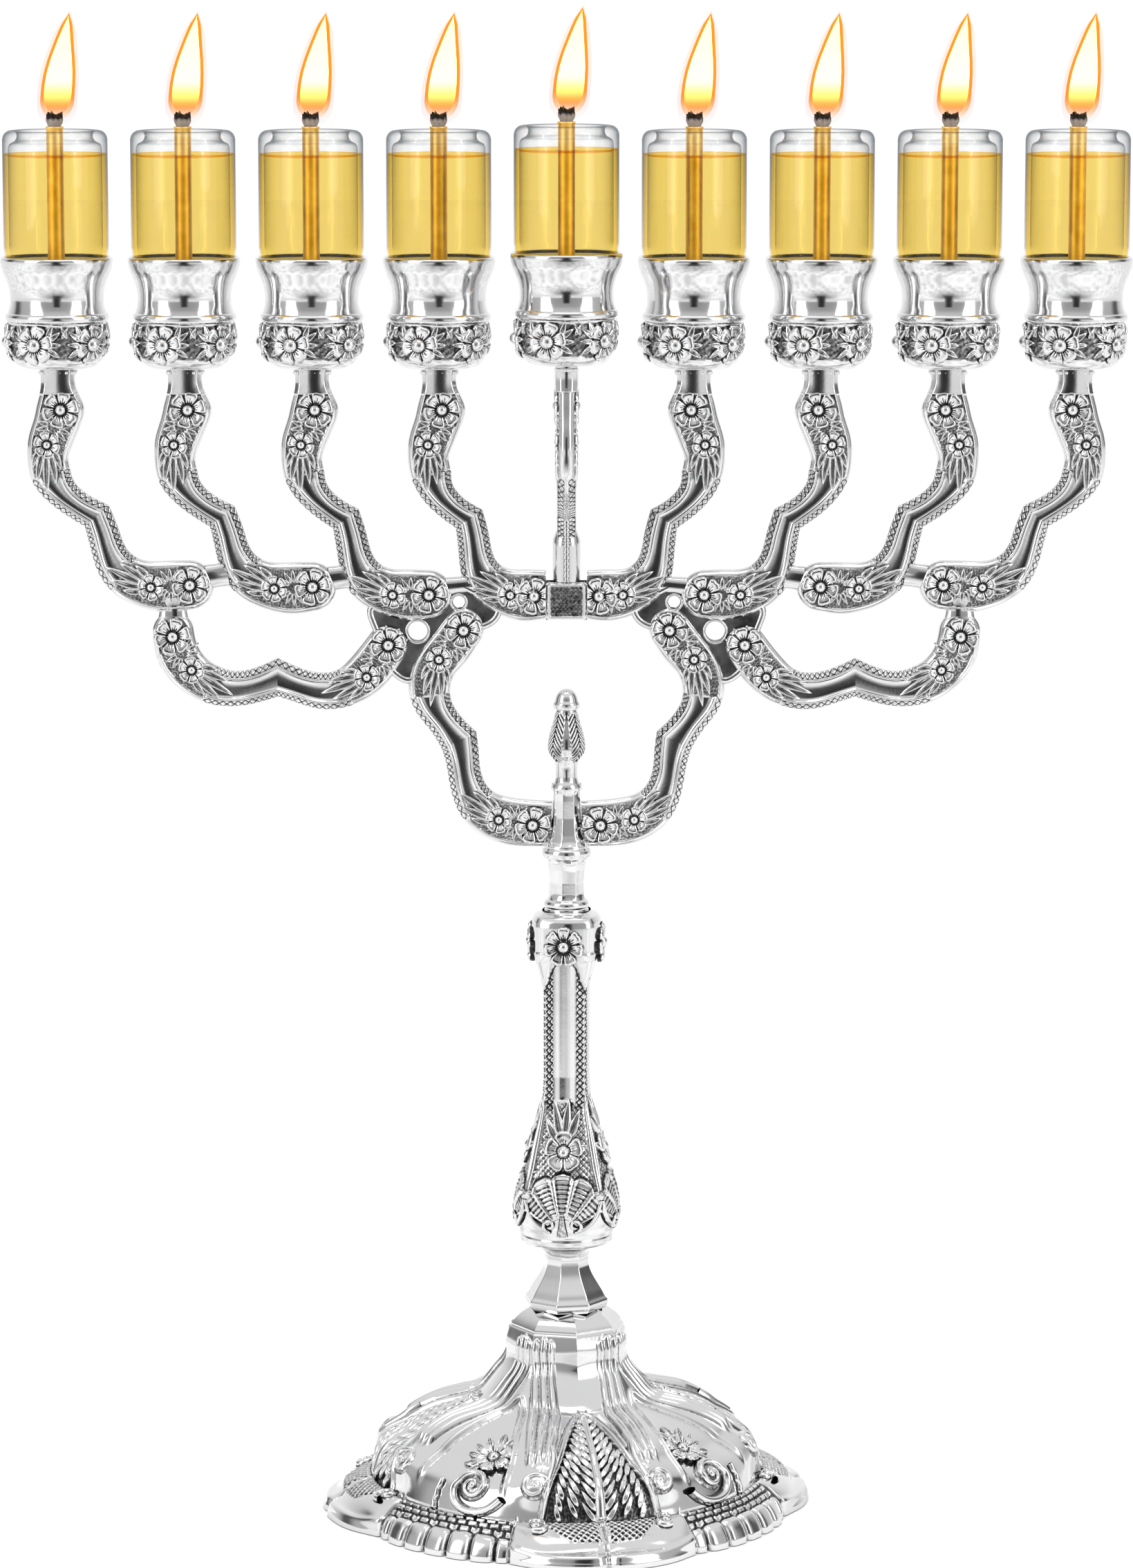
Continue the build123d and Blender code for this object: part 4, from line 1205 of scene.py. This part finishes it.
def feather_ornament():
    """The leaves of a feather panel, with a bud at the top, and the small scrolls at the lobe's ends."""
    surfaces = []
    for side in (-1, 1):
        # three columns of leaves: where they start in the panel's width, how far up, and how they lean
        columns = ((0.08, 25.4, 0.0, 38, 6.0), (0.42, 32.6, 1.2, 28, 5.6), (0.72, 38.0, 0.0, 16, 4.8))
        for share, top, offset, tilt, longest in columns:
            for up in np.arange(length_at(46.7), length_at(top), 2.75):
                surfaces.append(barb(side, share, up + offset, tilt, longest))
        path = spiral(side * 15.4, length_at(48.4), 2.5, 1.25, 90 - side * 150, side, inner=0.18)
        surfaces.append(cord(path, np.linspace(0.9, 1.6, len(path)), 0.1, 1.2))
        surfaces.append(ball(side * 15.4, length_at(48.4), 0.35, 0.7))
    up = length_at(24.3)
    surfaces.append(ball(0, up + 0.3, 0.1, 1.15))
    for lean in (-58, -22, 22, 58):
        angle = math.radians(lean)
        surfaces.append(leaf(math.sin(angle), up + math.cos(angle), 90 - lean, 2.3, 1.3, -0.1, 0.8))
    return surfaces


def bloom_ornament():
    """The flower panel's flower, leaves and scroll, set towards the next feather panel."""
    up = length_at(38.6)
    x = 5.4
    surfaces = flower(x, up, 4.7, 0.0, 1.5, petals=6, turn=90)
    leaves = ((100, 5.4), (74, 4.6), (128, 5.2), (154, 4.4), (180, 4.0), (206, 4.2), (232, 3.6))
    for angle, length in leaves + ((-24, 3.4), (20, 3.2)):
        start = (x, up) + 3.7 * unit(angle)
        surfaces.append(leaf(*start, angle, length, 2.2, -0.2, 1.1))
    low = length_at(44.2)
    tail = [(-0.4, low - 0.9), (0.6, low - 4.2), (4.4, low - 6.0), (9.2, low - 5.2), (12.2, low - 2.6)]
    surfaces += volute(4.2, low, 4.3, 168, 1, 0.2, 1.9, turns=1.5, tail=tail)
    knots = [(-5.6, low - 7.4), (-5.6, low - 4.8), (-5.2, low - 2.2), (-4.6, low + 0.4)]
    stalk = through(knots, np.linspace(0, 3, 28))
    swells = 1.1 + 0.9 * np.abs(np.sin(np.linspace(0.3, 3.0 * np.pi, 28)))
    surfaces.append(cord(stalk, swells, 0.0, 1.1))
    return surfaces


def rib_ornament():
    """The rolled volute at the foot of a bundle of reeds, and its tail."""
    low = length_at(43.6)
    tail = [(-3.3, low + 3.6), (-3.4, low + 7.4), (-2.6, low + 11.0)]
    return volute(0.0, low, 3.8, 160, 1, 0.9, 1.7, turns=1.5, tail=tail)


def make_base(silver):
    for quarter in range(4):
        middle = BASE_TURN + 90 * quarter
        feather, bloom = on_base(middle), on_base(middle + 45)
        surfaces = [base_surface(middle, -22.5, 22.5)]
        plated(f"silver_base_feather_{quarter + 1}", surfaces, silver, "base")
        surfaces = [base_surface(middle, 22.5, 45), base_surface(middle + 90, -45, -22.5)]
        plated(f"silver_base_bloom_{quarter + 1}", surfaces, silver, "base")
        surfaces = [mapped(s, feather) for s in feather_ornament()]
        ornament = bloom_ornament() if quarter % 2 == 0 else mirrored(bloom_ornament())
        surfaces += [mapped(surface, bloom) for surface in ornament]
        for side, ornament in ((-1, mirrored(rib_ornament())), (1, rib_ornament())):
            place = on_base(middle + side * VOLUTE_TURN)
            surfaces += [mapped(surface, place) for surface in ornament]
        plated(f"base_chasing_{quarter + 1}", surfaces, silver, "base")
    under = [(2.0, 42.0), (9.0, 40.0), (11.5, 31.0), (20.0, 23.0), (35.0, 16.0), (42.5, 7.0), (46.0, 3.0)]
    under += [(51.0, 0.2)]
    rows = rounded_profile(under, 1.0)[::-1]
    plated("base_inside", [revolved(rows, None, 96)], silver, "base")


# ---------------------------------------------------------------- centre block
def make_center_block(silver):
    """The chased block where all the arms meet, behind the shamash's boss."""
    half_x, half_z, middle = 4.8, 4.45, 218.7
    s = np.linspace(-1, 1, 60)
    x, z = np.meshgrid(s, s)
    edge = 1 - np.maximum(np.abs(x), np.abs(z))
    corner = np.hypot(np.clip(np.abs(x) - 0.72, 0, None), np.clip(np.abs(z) - 0.72, 0, None)) / 0.28
    inner = np.minimum(edge, np.where((np.abs(x) > 0.72) & (np.abs(z) > 0.72), 0.28 * (1 - corner), 1))
    pits = np.sin(x * 31 + np.sin(z * 23)) * np.sin(z * 27 + np.cos(x * 29))
    sunk = smooth(0.16, 0.24, inner)
    out = 2.2 + 1.5 * np.sqrt(np.clip(inner / 0.12, 0, 1)) - 0.4 * sunk + 0.06 * pits * sunk
    shade = sunk * (0.6 + 0.15 * pits)
    plate = sheet(np.stack([x * half_x, middle + z * half_z, out], axis=-1), shade)
    surfaces = [mapped(plate, on_front), mapped(plate, on_back, flip=True)]
    around = all_round(48)
    squared = 1 / (np.abs(np.cos(around)) ** 6 + np.abs(np.sin(around)) ** 6) ** (1 / 6)
    level = np.linspace(214.3, 223.1, 20)[:, None]
    pinch = 1 - 0.03 * smooth(3.4, 4.4, np.abs(level - middle))
    wide = half_x * (np.cos(around) * squared)[None, :] * pinch
    deep = 2.5 * (np.sin(around) * squared)[None, :] * pinch
    core = np.stack([wide, deep, level + 0 * around], axis=-1)
    surfaces.append(sheet(core, 0.1, wrap=True))
    plated("silver_center_block", surfaces, silver, "center_block")


# ---------------------------------------------------------------- glasses, oil, wicks and flames
def closed_profile(outline, columns=128):
    """A surface of revolution round a profile that starts and ends on the axis.

    Its attribute is 0 inside the cup, 1 above it and 2.5 at the lip. The material paints shade on
    grazing views by it, in place of the dark edges that refraction gives thick glass.
    """
    rows = np.array(outline)
    rows[:, 0] = np.maximum(rows[:, 0], 0.01)

    # how much painted shade the glass or oil takes where it is seen edge on
    def edge_shade_share(angle, level, radius):
        return 0.0, smooth(300.0, 303.0, level) + 1.5 * smooth(324.5, 326.0, level)

    return revolved(rows, edge_shade_share, columns)


def glass_surface():
    """A thick-walled glass on a stub that drops into the cup, with a turned-in lip."""
    outside = [(8.7, 278.0), (9.3, 278.6), (9.3, 290.0), (9.3, 294.3)]
    shoulder = [(9.3, 294.3), (9.9, 295.3), (11.3, 296.9), (12.0, 298.8), (12.2, 301.5)]
    lip = [(12.2, 325.6), (12.15, 326.7), (11.7, 327.7), (10.7, 328.4), (9.7, 328.4), (8.95, 327.8)]
    lip += [(8.85, 326.9), (9.5, 325.9), (10.5, 325.3), (10.9, 324.2)]
    inside = [(10.9, 302.0), (10.4, 299.4), (9.0, 297.6), (8.1, 296.0), (8.0, 294.0)]
    rows = [(0.0, 278.0), (4.0, 278.0)]
    rows = np.concatenate([rows, profile_at(outside, 2.0), rounded_profile(shoulder, 0.6)[1:]])
    rows = np.concatenate([rows, rounded_profile(lip, 0.25), rounded_profile(inside, 0.6)])
    rows = np.concatenate([rows, [(8.0, 280.4), (7.6, 280.0), (4.0, 280.0), (0.0, 280.0)]])
    return closed_profile(rows, 112)


def oil_surface():
    """The oil, nearly as wide as the glass's outer face, because a thick wall makes it look that wide."""
    rows = [(0.0, 279.9), (4.0, 279.9), (7.9, 280.1), (8.1, 281.0), (8.1, 295.8)]
    side = [(8.1, 295.8), (10.2, 296.5), (11.4, 298.2), (11.95, 301.5)]
    top = [(11.95, 322.9), (11.9, 323.1), (11.6, 322.8), (10.6, 322.5), (8.5, 322.4), (4.5, 322.4)]
    top += [(2.9, 322.5), (2.2, 322.8), (1.9, 322.8)]
    rows = np.concatenate([rows, rounded_profile(side, 0.6)[1:], top, [(1.6, 322.4), (0.0, 322.4)]])
    return closed_profile(rows, 112)


def tube_surface():
    """The gilded tube that holds the wick."""
    rows = [(1.55, 280.2), (1.95, 280.2), (1.97, 300.0), (1.97, 328.7), (2.1, 328.9), (2.15, 329.15)]
    rows += [(2.0, 329.35), (1.75, 329.3), (1.55, 328.8), (1.55, 300.0), (1.55, 280.2)]
    return revolved(profile_at(rows, 1.5), None, 48)


def wick_surface():
    """The cotton wick, flared above its tube, with a ragged top."""
    angle = all_round(64)[None, :]
    level = np.concatenate([[282.0, 300.0, 328.4], np.linspace(329.0, 332.2, 18)])[:, None]
    top = smooth(331.0, 332.2, level)
    strands = np.sin(9 * angle + 0.6 * level) + 0.6 * np.sin(5 * angle - 1.1 * level + 1)
    radius = 1.4 + 0.55 * smooth(329.2, 330.8, level)
    radius = radius + 0.09 * strands * smooth(328.5, 330, level) - 0.12 * top
    ragged = 0.32 * top * (np.sin(7 * angle) + np.sin(3 * angle + 2) + 0.5 * np.sin(13 * angle))
    z = level + ragged
    side = np.stack([radius * np.cos(angle), radius * np.sin(angle), z], axis=-1)
    shares = np.array([0.7, 0.35, 0.02])[:, None]
    inner = radius[-1:] * shares
    cap = [inner * np.cos(angle), inner * np.sin(angle), z[-1:] * shares + 331.9 * (1 - shares)]
    cap = np.stack(cap, axis=-1)
    points = np.concatenate([side, cap])
    shade = np.concatenate([np.clip(smooth(330.3, 331.9, level) + 0.12 * strands, 0, 1), np.ones((3, 64))])
    return sheet(points, shade, wrap=True)


FLAME_FOOT, FLAME_TIP = 330.4, 355.4
FLAME_SHARES = [0, 0.1, 0.2, 0.34, 0.46, 0.58, 0.74, 0.84, 0.9, 0.96, 1]
FLAME_HALVES = [3.3, 3.75, 3.95, 3.9, 3.65, 3.15, 2.25, 1.65, 1.25, 0.75, 0.0]


def flame_surface(grow, low, round_foot):
    """A flame's skin: a drop leaning to +X. It closes over round_foot millimetres above the level low."""
    high = FLAME_TIP + 0.9 * grow
    level = low + (high - low) * np.linspace(0, 1, 56) ** 1.25
    share = np.clip((level - FLAME_FOOT) / (FLAME_TIP - FLAME_FOOT), 0, 1)
    half = np.interp(share, FLAME_SHARES, FLAME_HALVES) + grow
    half = half * np.sqrt(np.clip(1 - np.clip(1 - (level - low) / round_foot, 0, 1) ** 2, 0, 1))
    half = np.clip(np.minimum(half, (high - level) * 0.5), 0.01, None)
    middle = 0.5 + 3.25 * share**1.7
    angle = all_round(56)[None, :]
    x = middle[:, None] + half[:, None] * np.cos(angle)
    points = np.stack([x, half[:, None] * np.sin(angle), level[:, None] + 0 * angle], axis=-1)
    return sheet(points, share[:, None], wrap=True)


def make_lights(looks):
    """Glass, oil, tube, wick and flame of all nine lights. Each kind shares one mesh."""
    kinds = [
        ("glass", glass_surface(), looks["glass"], "glass", "glass"),
        ("oil", oil_surface(), looks["oil"], "oil", "oil"),
        ("wick_tube", tube_surface(), looks["brass"], "lit_wick", "lit_wick"),
        ("wick", wick_surface(), looks["cotton"], "lit_wick", "lit_wick"),
        ("flame_core", flame_surface(-0.75, 331.6, 5.5), looks["flame_core"], "lit_wick", "lit_wick"),
        ("flame_edge", flame_surface(0.0, 330.6, 4.5), looks["flame_edge"], "lit_wick", "lit_wick"),
        ("flame_glow", flame_surface(0.8, 329.6, 3.5), looks["flame_glow"], "lit_wick", "lit_wick"),
    ]
    for kind, surface, material, node, slot in kinds:
        shared = None
        for number in range(1, 10):
            at, body = light_at(number), f"light_{number}"
            name = f"lamp_{kind}_{number}"
            if shared is None:
                shared = make_object(name, body, [surface], material, [f"{node}_{number}"], slot, at).data
            else:
                add_object(name, shared, body, [f"{node}_{number}"], slot, at)


# ---------------------------------------------------------------- materials
def node(tree, kind, inputs=(), **settings):
    """Adds a node. inputs maps socket names or numbers to values, or to sockets to link from."""
    made = tree.nodes.new(kind)
    for key, value in settings.items():
        setattr(made, key, value)
    for key, value in dict(inputs).items():
        if isinstance(value, bpy.types.NodeSocket):
            tree.links.new(value, made.inputs[key])
        else:
            made.inputs[key].default_value = value
    return made


def new_material(name):
    """A new material's tree, and a function that ends it with a shader and returns the material."""
    material = bpy.data.materials.new(name)
    material.use_nodes = True
    tree = material.node_tree
    tree.nodes.clear()
    output = tree.nodes.new("ShaderNodeOutputMaterial")

    def end(shader):
        tree.links.new(shader, output.inputs["Surface"])
        return material

    return tree, end


def ramp(tree, factor, stops):
    """A colour ramp with (position, colour) stops. A plain number stands for a grey."""
    made = tree.nodes.new("ShaderNodeValToRGB")
    tree.links.new(factor, made.inputs["Fac"])
    elements = made.color_ramp.elements
    while len(elements) < len(stops):
        elements.new(0.5)
    for element, (place, colour) in zip(elements, stops):
        element.position = place
        element.color = (*colour, 1) if isinstance(colour, tuple) else (colour, colour, colour, 1)
    return made.outputs["Color"]


def noise(tree, scale, detail=2.0):
    """A cloudy noise, fixed to the frame."""
    values = {"Vector": position(tree), "Scale": scale, "Detail": detail}
    return node(tree, "ShaderNodeTexNoise", values).outputs["Fac"]


def position(tree):
    return node(tree, "ShaderNodeNewGeometry").outputs["Position"]


def tarnish_of(tree):
    """The point attribute that every piece carries."""
    return node(tree, "ShaderNodeAttribute", attribute_name="tarnish").outputs["Fac"]


def maths(tree, operation, *values):
    return node(tree, "ShaderNodeMath", dict(enumerate(values)), operation=operation).outputs[0]


def ranged(tree, factor, to=(0.0, 1.0), of=(0.0, 1.0), kind="LINEAR"):
    """A factor's range called of, spread over the range called to."""
    values = dict(enumerate((factor, *of, *to)))
    return node(tree, "ShaderNodeMapRange", values, interpolation_type=kind).outputs[0]


def mixed_colour(tree, factor, one, other):
    return node(tree, "ShaderNodeMix", {"Factor": factor, 6: one, 7: other}, data_type="RGBA").outputs[2]


def bumped(tree, strength, distance, height, **more):
    values = {"Strength": strength, "Distance": distance, "Height": height} | more
    return node(tree, "ShaderNodeBump", values).outputs[0]


def principled(tree, values):
    return node(tree, "ShaderNodeBsdfPrincipled", values).outputs[0]


def silver_look():
    """Bright plate, mottled and nearly black where it has tarnished in the recesses."""
    tree, end = new_material("silver_plate")
    speckle, clouds = noise(tree, 1400.0, 3.0), noise(tree, 90.0)
    speck = maths(tree, "SUBTRACT", speckle, 0.5)
    mottle = maths(tree, "MULTIPLY_ADD", speck, 0.9, tarnish_of(tree))
    amount = ranged(tree, mottle, of=(0.18, 0.82), kind="SMOOTHSTEP")
    bright, dull, black = (0.74, 0.74, 0.745), (0.3, 0.3, 0.305), (0.03, 0.029, 0.03)
    rough = ranged(tree, amount, (0.1, 0.45))
    smudge = ranged(tree, clouds, (0.0, 0.05), of=(0.35, 0.7))
    grain = bumped(tree, 0.03, 0.0002, speckle)
    values = {
        "Base Color": ramp(tree, amount, [(0.0, bright), (0.5, dull), (1.0, black)]),
        "Roughness": maths(tree, "ADD", rough, smudge),
        "Normal": bumped(tree, 0.06, 0.0012, clouds, Normal=grain),
        "Metallic": 1.0,
    }
    return end(principled(tree, values))


def cloudy_look(name, scale, detail, stops, rough, constants, bump=None):
    """A mottled stuff: one noise sets its colour, its roughness and, with (strength, distance), its bump."""
    tree, end = new_material(name)
    clouds = noise(tree, scale, detail)
    values = {"Base Color": ramp(tree, clouds, stops), "Roughness": ranged(tree, clouds, rough)}
    if bump:
        values["Normal"] = bumped(tree, *bump, clouds)
    return end(principled(tree, values | constants))


def plate_look():
    """The webs' plainer, duller plate."""
    stops = [(0.3, 0.07), (0.75, 0.3)]
    return cloudy_look("web_plate", 220.0, 4.0, stops, (0.25, 0.4), {"Metallic": 1.0}, bump=(0.2, 0.0004))


def satin_look():
    """The matt plating inside the cups, with painted light: it glows a little, as hardly any light finds its
    way down there.
    """
    # painted light: the emission stands in for the light that does not reach the lining
    constants = {"Metallic": 0.6, "Emission Color": (1.0, 0.98, 0.94, 1), "Emission Strength": 0.42}
    return cloudy_look("satin_plate", 400.0, 3.0, [(0.3, 0.52), (0.7, 0.6)], (0.5, 0.65), constants)


def brass_look():
    """The gilding of the wick tubes."""
    stops = [(0.3, (0.8, 0.52, 0.14)), (0.7, (1.0, 0.74, 0.3))]
    return cloudy_look("gilt_tube", 300.0, 3.0, stops, (0.42, 0.55), {"Metallic": 1.0})


def steel_look():
    """The zinc plating of the rod, nut and screws."""
    return cloudy_look("zinc_steel", 500.0, 4.0, [(0.3, 0.35), (0.7, 0.55)], (0.3, 0.5), {"Metallic": 1.0})


def felt_look():
    tree, end = new_material("dark_felt")
    fibres = noise(tree, 900.0, 6.0)
    colour = ramp(tree, fibres, [(0.3, (0.01, 0.012, 0.02)), (0.7, (0.03, 0.035, 0.05))])
    values = {"Base Color": colour, "Normal": bumped(tree, 0.6, 0.0006, fibres)}
    return end(principled(tree, values | {"Roughness": 0.95, "Sheen Weight": 0.3}))


def cotton_look():
    """Off-white cotton that chars towards the top."""
    tree, end = new_material("cotton_wick")
    fibres = noise(tree, 2500.0, 4.0)
    charred = maths(tree, "MULTIPLY_ADD", fibres, 0.5, tarnish_of(tree))
    stops = [(0.2, (0.42, 0.4, 0.39)), (0.7, (0.16, 0.15, 0.15)), (0.95, (0.006, 0.006, 0.006))]
    values = {"Base Color": ramp(tree, charred, stops), "Normal": bumped(tree, 0.7, 0.0003, fibres)}
    return end(principled(tree, values | {"Roughness": 0.9}))


def clear_look(name, head_on, edge_on_shade, sharpness, shine, scale):
    """A clear, unbending stuff: it tints what is behind it and reflects, with painted shade where seen edge
    on.
    """
    tree, end = new_material(name)
    ripple = bumped(tree, 0.08, 0.001, noise(tree, scale, 1.0))
    facing = node(tree, "ShaderNodeLayerWeight", {"Blend": 0.5}).outputs["Facing"]
    # painted shade: grazing views are darkened towards the edge-on colour, scaled by the attribute, in place
    # of refraction
    edge = maths(tree, "MULTIPLY", maths(tree, "POWER", facing, sharpness), tarnish_of(tree))
    colour = ramp(tree, edge, [(0.0, head_on), (1.0, edge_on_shade)])
    clear = node(tree, "ShaderNodeBsdfTransparent", {"Color": colour}).outputs[0]
    mirror = node(tree, "ShaderNodeBsdfGlossy", {"Roughness": 0.02, "Normal": ripple}).outputs[0]
    amount = ranged(tree, maths(tree, "POWER", facing, 5.0), (shine, 12 * shine))
    return end(node(tree, "ShaderNodeMixShader", {0: amount, 1: clear, 2: mirror}).outputs[0])


def glass_look():
    # the second colour is painted shade, grey where the glass is seen edge on
    return clear_look("clear_glass", (0.985, 0.988, 0.988), (0.42, 0.44, 0.46), 3.2, 0.03, 60.0)


def oil_look():
    """Golden gelled oil."""
    # the second colour is painted shade, a deeper gold where the oil is seen edge on
    return clear_look("golden_oil", (0.99, 0.84, 0.4), (0.96, 0.68, 0.24), 3.0, 0.008, 40.0)


def flame_core_look():
    """The bright heart of the flame, which fades out over the wick."""
    tree, end = new_material("flame_core")
    share = tarnish_of(tree)
    orange, amber = (1.0, 0.36, 0.08), (1.0, 0.55, 0.16)
    cream, white = (1.0, 0.85, 0.5), (1.0, 0.97, 0.9)
    colour = ramp(tree, share, [(0.07, orange), (0.17, amber), (0.27, cream), (0.36, white)])
    strength = ranged(tree, share, (1.0, 5.5), of=(0.1, 0.45), kind="SMOOTHSTEP")
    light = node(tree, "ShaderNodeEmission", {"Color": colour, "Strength": strength}).outputs[0]
    solid = ranged(tree, share, of=(0.05, 0.22), kind="SMOOTHSTEP")
    clear = node(tree, "ShaderNodeBsdfTransparent").outputs[0]
    return end(node(tree, "ShaderNodeMixShader", {0: solid, 1: clear, 2: light}).outputs[0])


def flame_skin_look(name, tints, glow):
    """An outer skin of the flame: it tints what is behind it and gives a little light of its own."""
    tree, end = new_material(name)
    share = tarnish_of(tree)
    clear = node(tree, "ShaderNodeBsdfTransparent", {"Color": ramp(tree, share, tints)}).outputs[0]
    strength = ranged(tree, share, (0.0, glow), of=(0.1, 0.4))
    values = {"Color": (1.0, 0.42, 0.1, 1), "Strength": strength}
    light = node(tree, "ShaderNodeEmission", values).outputs[0]
    return end(node(tree, "ShaderNodeAddShader", {0: clear, 1: light}).outputs[0])


FLAME_EDGE_TINTS = [(0.02, (1, 1, 1)), (0.1, (1.0, 0.84, 0.66))]
FLAME_EDGE_TINTS += [(0.24, (1.0, 0.62, 0.24)), (1.0, (1.0, 0.62, 0.18))]
FLAME_GLOW_TINTS = [(0.0, (0.97, 0.95, 0.95)), (0.2, (0.96, 0.9, 0.89)), (0.5, (0.99, 0.92, 0.86))]


def all_looks():
    return {
        "silver": silver_look(),
        "plate": plate_look(),
        "satin": satin_look(),
        "brass": brass_look(),
        "steel": steel_look(),
        "felt": felt_look(),
        "cotton": cotton_look(),
        "glass": glass_look(),
        "oil": oil_look(),
        "flame_core": flame_core_look(),
        "flame_edge": flame_skin_look("flame_edge", FLAME_EDGE_TINTS, 0.02),
        "flame_glow": flame_skin_look("flame_glow", FLAME_GLOW_TINTS, 0.0),
    }


# ---------------------------------------------------------------- studio
def staged(name, data):
    """An object of the studio, not of the part."""
    thing = bpy.data.objects.new(name, data)
    bpy.context.scene.collection.objects.link(thing)
    thing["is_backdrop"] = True
    return thing


def soft_box(name, at, width, height):
    """A rectangular studio light that faces the part."""
    light = bpy.data.lights.new(name, "AREA")
    light.shape, light.size, light.size_y, light.energy = "RECTANGLE", width, height, 5
    lamp = staged(name, light)
    lamp.location = at
    lamp.rotation_euler = (Vector((0, 0, 0.2)) - Vector(at)).to_track_quat("-Z", "Y").to_euler()


def reflected(name, corners, material):
    """Flat cards, four corners each, that only reflections see."""
    card = bpy.data.meshes.new(name)
    card.from_pydata(corners, [], [tuple(range(i, i + 4)) for i in range(0, len(corners), 4)])
    card.materials.append(material)
    cloth = staged(name, card)
    cloth.visible_camera = cloth.visible_diffuse = cloth.visible_shadow = cloth.visible_transmission = False


def make_room():
    """A white sweep behind, dark gaps beside it, a pale grey room in front, and a white ceiling."""
    world = bpy.data.worlds.new("studio")
    bpy.context.scene.world = world
    world.use_nodes = True
    tree = world.node_tree
    tree.nodes.clear()
    output = tree.nodes.new("ShaderNodeOutputWorld")
    way = node(tree, "ShaderNodeTexCoord").outputs["Generated"]
    split = node(tree, "ShaderNodeSeparateXYZ", {0: way})
    along = ranged(tree, split.outputs["Y"], of=(-1.0, 1.0))
    stops = [(0.0, 0.35), (0.3, 0.55), (0.5, 0.5), (0.6, 0.12), (0.68, 0.1), (0.76, 0.6)]
    stops += [(0.9, 0.9), (0.96, 1.0)]
    above = ranged(tree, split.outputs["Z"], of=(0.45, 0.75), kind="SMOOTHSTEP")
    room = mixed_colour(tree, above, ramp(tree, along, stops), (0.85, 0.85, 0.85, 1))
    background = node(tree, "ShaderNodeBackground", {"Color": room, "Strength": 1.05})
    tree.links.new(background.outputs[0], output.inputs["Surface"])


def make_floor():
    floor = bpy.data.meshes.new("floor")
    floor.from_pydata([(-6, -6, 0), (6, -6, 0), (6, 6, 0), (-6, 6, 0)], [], [(0, 1, 2, 3)])
    tree, end = new_material("white_sweep")
    colour = ramp(tree, noise(tree, 4.0), [(0.3, 0.93), (0.7, 0.95)])
    floor.materials.append(end(principled(tree, {"Base Color": colour, "Roughness": 0.6})))
    staged("floor", floor).location = (0, 0, -0.0002)


def make_dark_card():
    """The dark gap between the front lights, where the camera stands: black far off, grey near the part."""
    tree, end = new_material("black_cloth")
    parts = node(tree, "ShaderNodeSeparateXYZ", {0: position(tree)})
    aside = maths(tree, "ABSOLUTE", parts.outputs["X"])
    far_grey = ramp(tree, aside, [(0.0, 0.02), (0.17, 0.04), (0.24, 0.25), (0.5, 0.42), (1.0, 0.8)])
    near_grey = ramp(tree, noise(tree, 9.0, 1.0), [(0.36, 0.62), (0.5, 0.88), (0.62, 1.0)])
    nearby = ranged(tree, parts.outputs["Y"], of=(-0.95, -0.35))
    colour = mixed_colour(tree, nearby, far_grey, near_grey)
    material = end(node(tree, "ShaderNodeBsdfDiffuse", {"Color": colour}).outputs[0])
    corners = [(-1.6, -1.6, -0.0001), (1.6, -1.6, -0.0001), (1.6, 1.2, -0.0001), (-1.6, 1.2, -0.0001)]
    corners += [(-0.3, -1.55, 0.001), (0.3, -1.55, 0.001), (0.3, -1.55, 0.75), (-0.3, -1.55, 0.75)]
    reflected("dark_card", corners, material)


def make_light_tubes():
    """The bright middles of the two front lights."""
    tree, end = new_material("light_tube")
    material = end(node(tree, "ShaderNodeEmission", {"Color": (1, 1, 1, 1), "Strength": 9.0}).outputs[0])
    corners = []
    for side in (-1, 1):
        for across, z in ((-0.06, 0.25), (0.06, 0.25), (0.06, 1.2), (-0.06, 1.2)):
            corners.append((side * (1.1 + across * 0.62), -0.86 + across * 0.78, z))
    reflected("light_tubes", corners, material)


def make_lamps():
    soft_box("key_left", (-1.15, -0.9, 0.75), 0.7, 1.2)
    soft_box("key_right", (1.15, -0.9, 0.75), 0.7, 1.2)
    soft_box("overhead", (0, -0.1, 1.8), 1.0, 1.0)
    sun = bpy.data.lights.new("floor_light", "SUN")
    sun.energy, sun.angle = 0.95, math.radians(120)
    lamp = staged("floor_light", sun)
    lamp.visible_glossy = lamp.visible_transmission = False


def make_camera():
    lens = bpy.data.cameras.new("camera")
    lens.lens = 127.85
    camera = bpy.data.objects.new("camera", lens)
    camera.location = (0, -1.3, 0.38)
    camera.rotation_euler = (Vector((0, 0, 0.1749)) - camera.location).to_track_quat("-Z", "Y").to_euler()
    bpy.context.scene.collection.objects.link(camera)
    bpy.context.scene.camera = camera


def studio():
    bpy.context.scene.view_settings.view_transform = "Standard"
    make_room()
    make_floor()
    make_lamps()
    make_dark_card()
    make_light_tubes()
    make_camera()


# ---------------------------------------------------------------- everything
looks = all_looks()
silver = looks["silver"]
make_arms(silver)
make_links(silver)
make_lower_arms(silver, looks["plate"])
make_center_block(silver)
make_shamash_arm(silver)
make_cups(silver, looks["satin"])
make_hub(silver)
make_finial(silver)
make_knop(silver)
make_stem(silver)
make_base(silver)
make_lights(looks)
for name in ("felt_pad", "tie_rod", "rod_nut", "cup_screws", "shamash_screw"):
    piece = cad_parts[name]
    piece.data.materials.clear()
    piece.data.materials.append(looks["felt" if name == "felt_pad" else "steel"])
studio()

[[list(map(float, p)) for p in box] for box in (cad_box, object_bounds())]
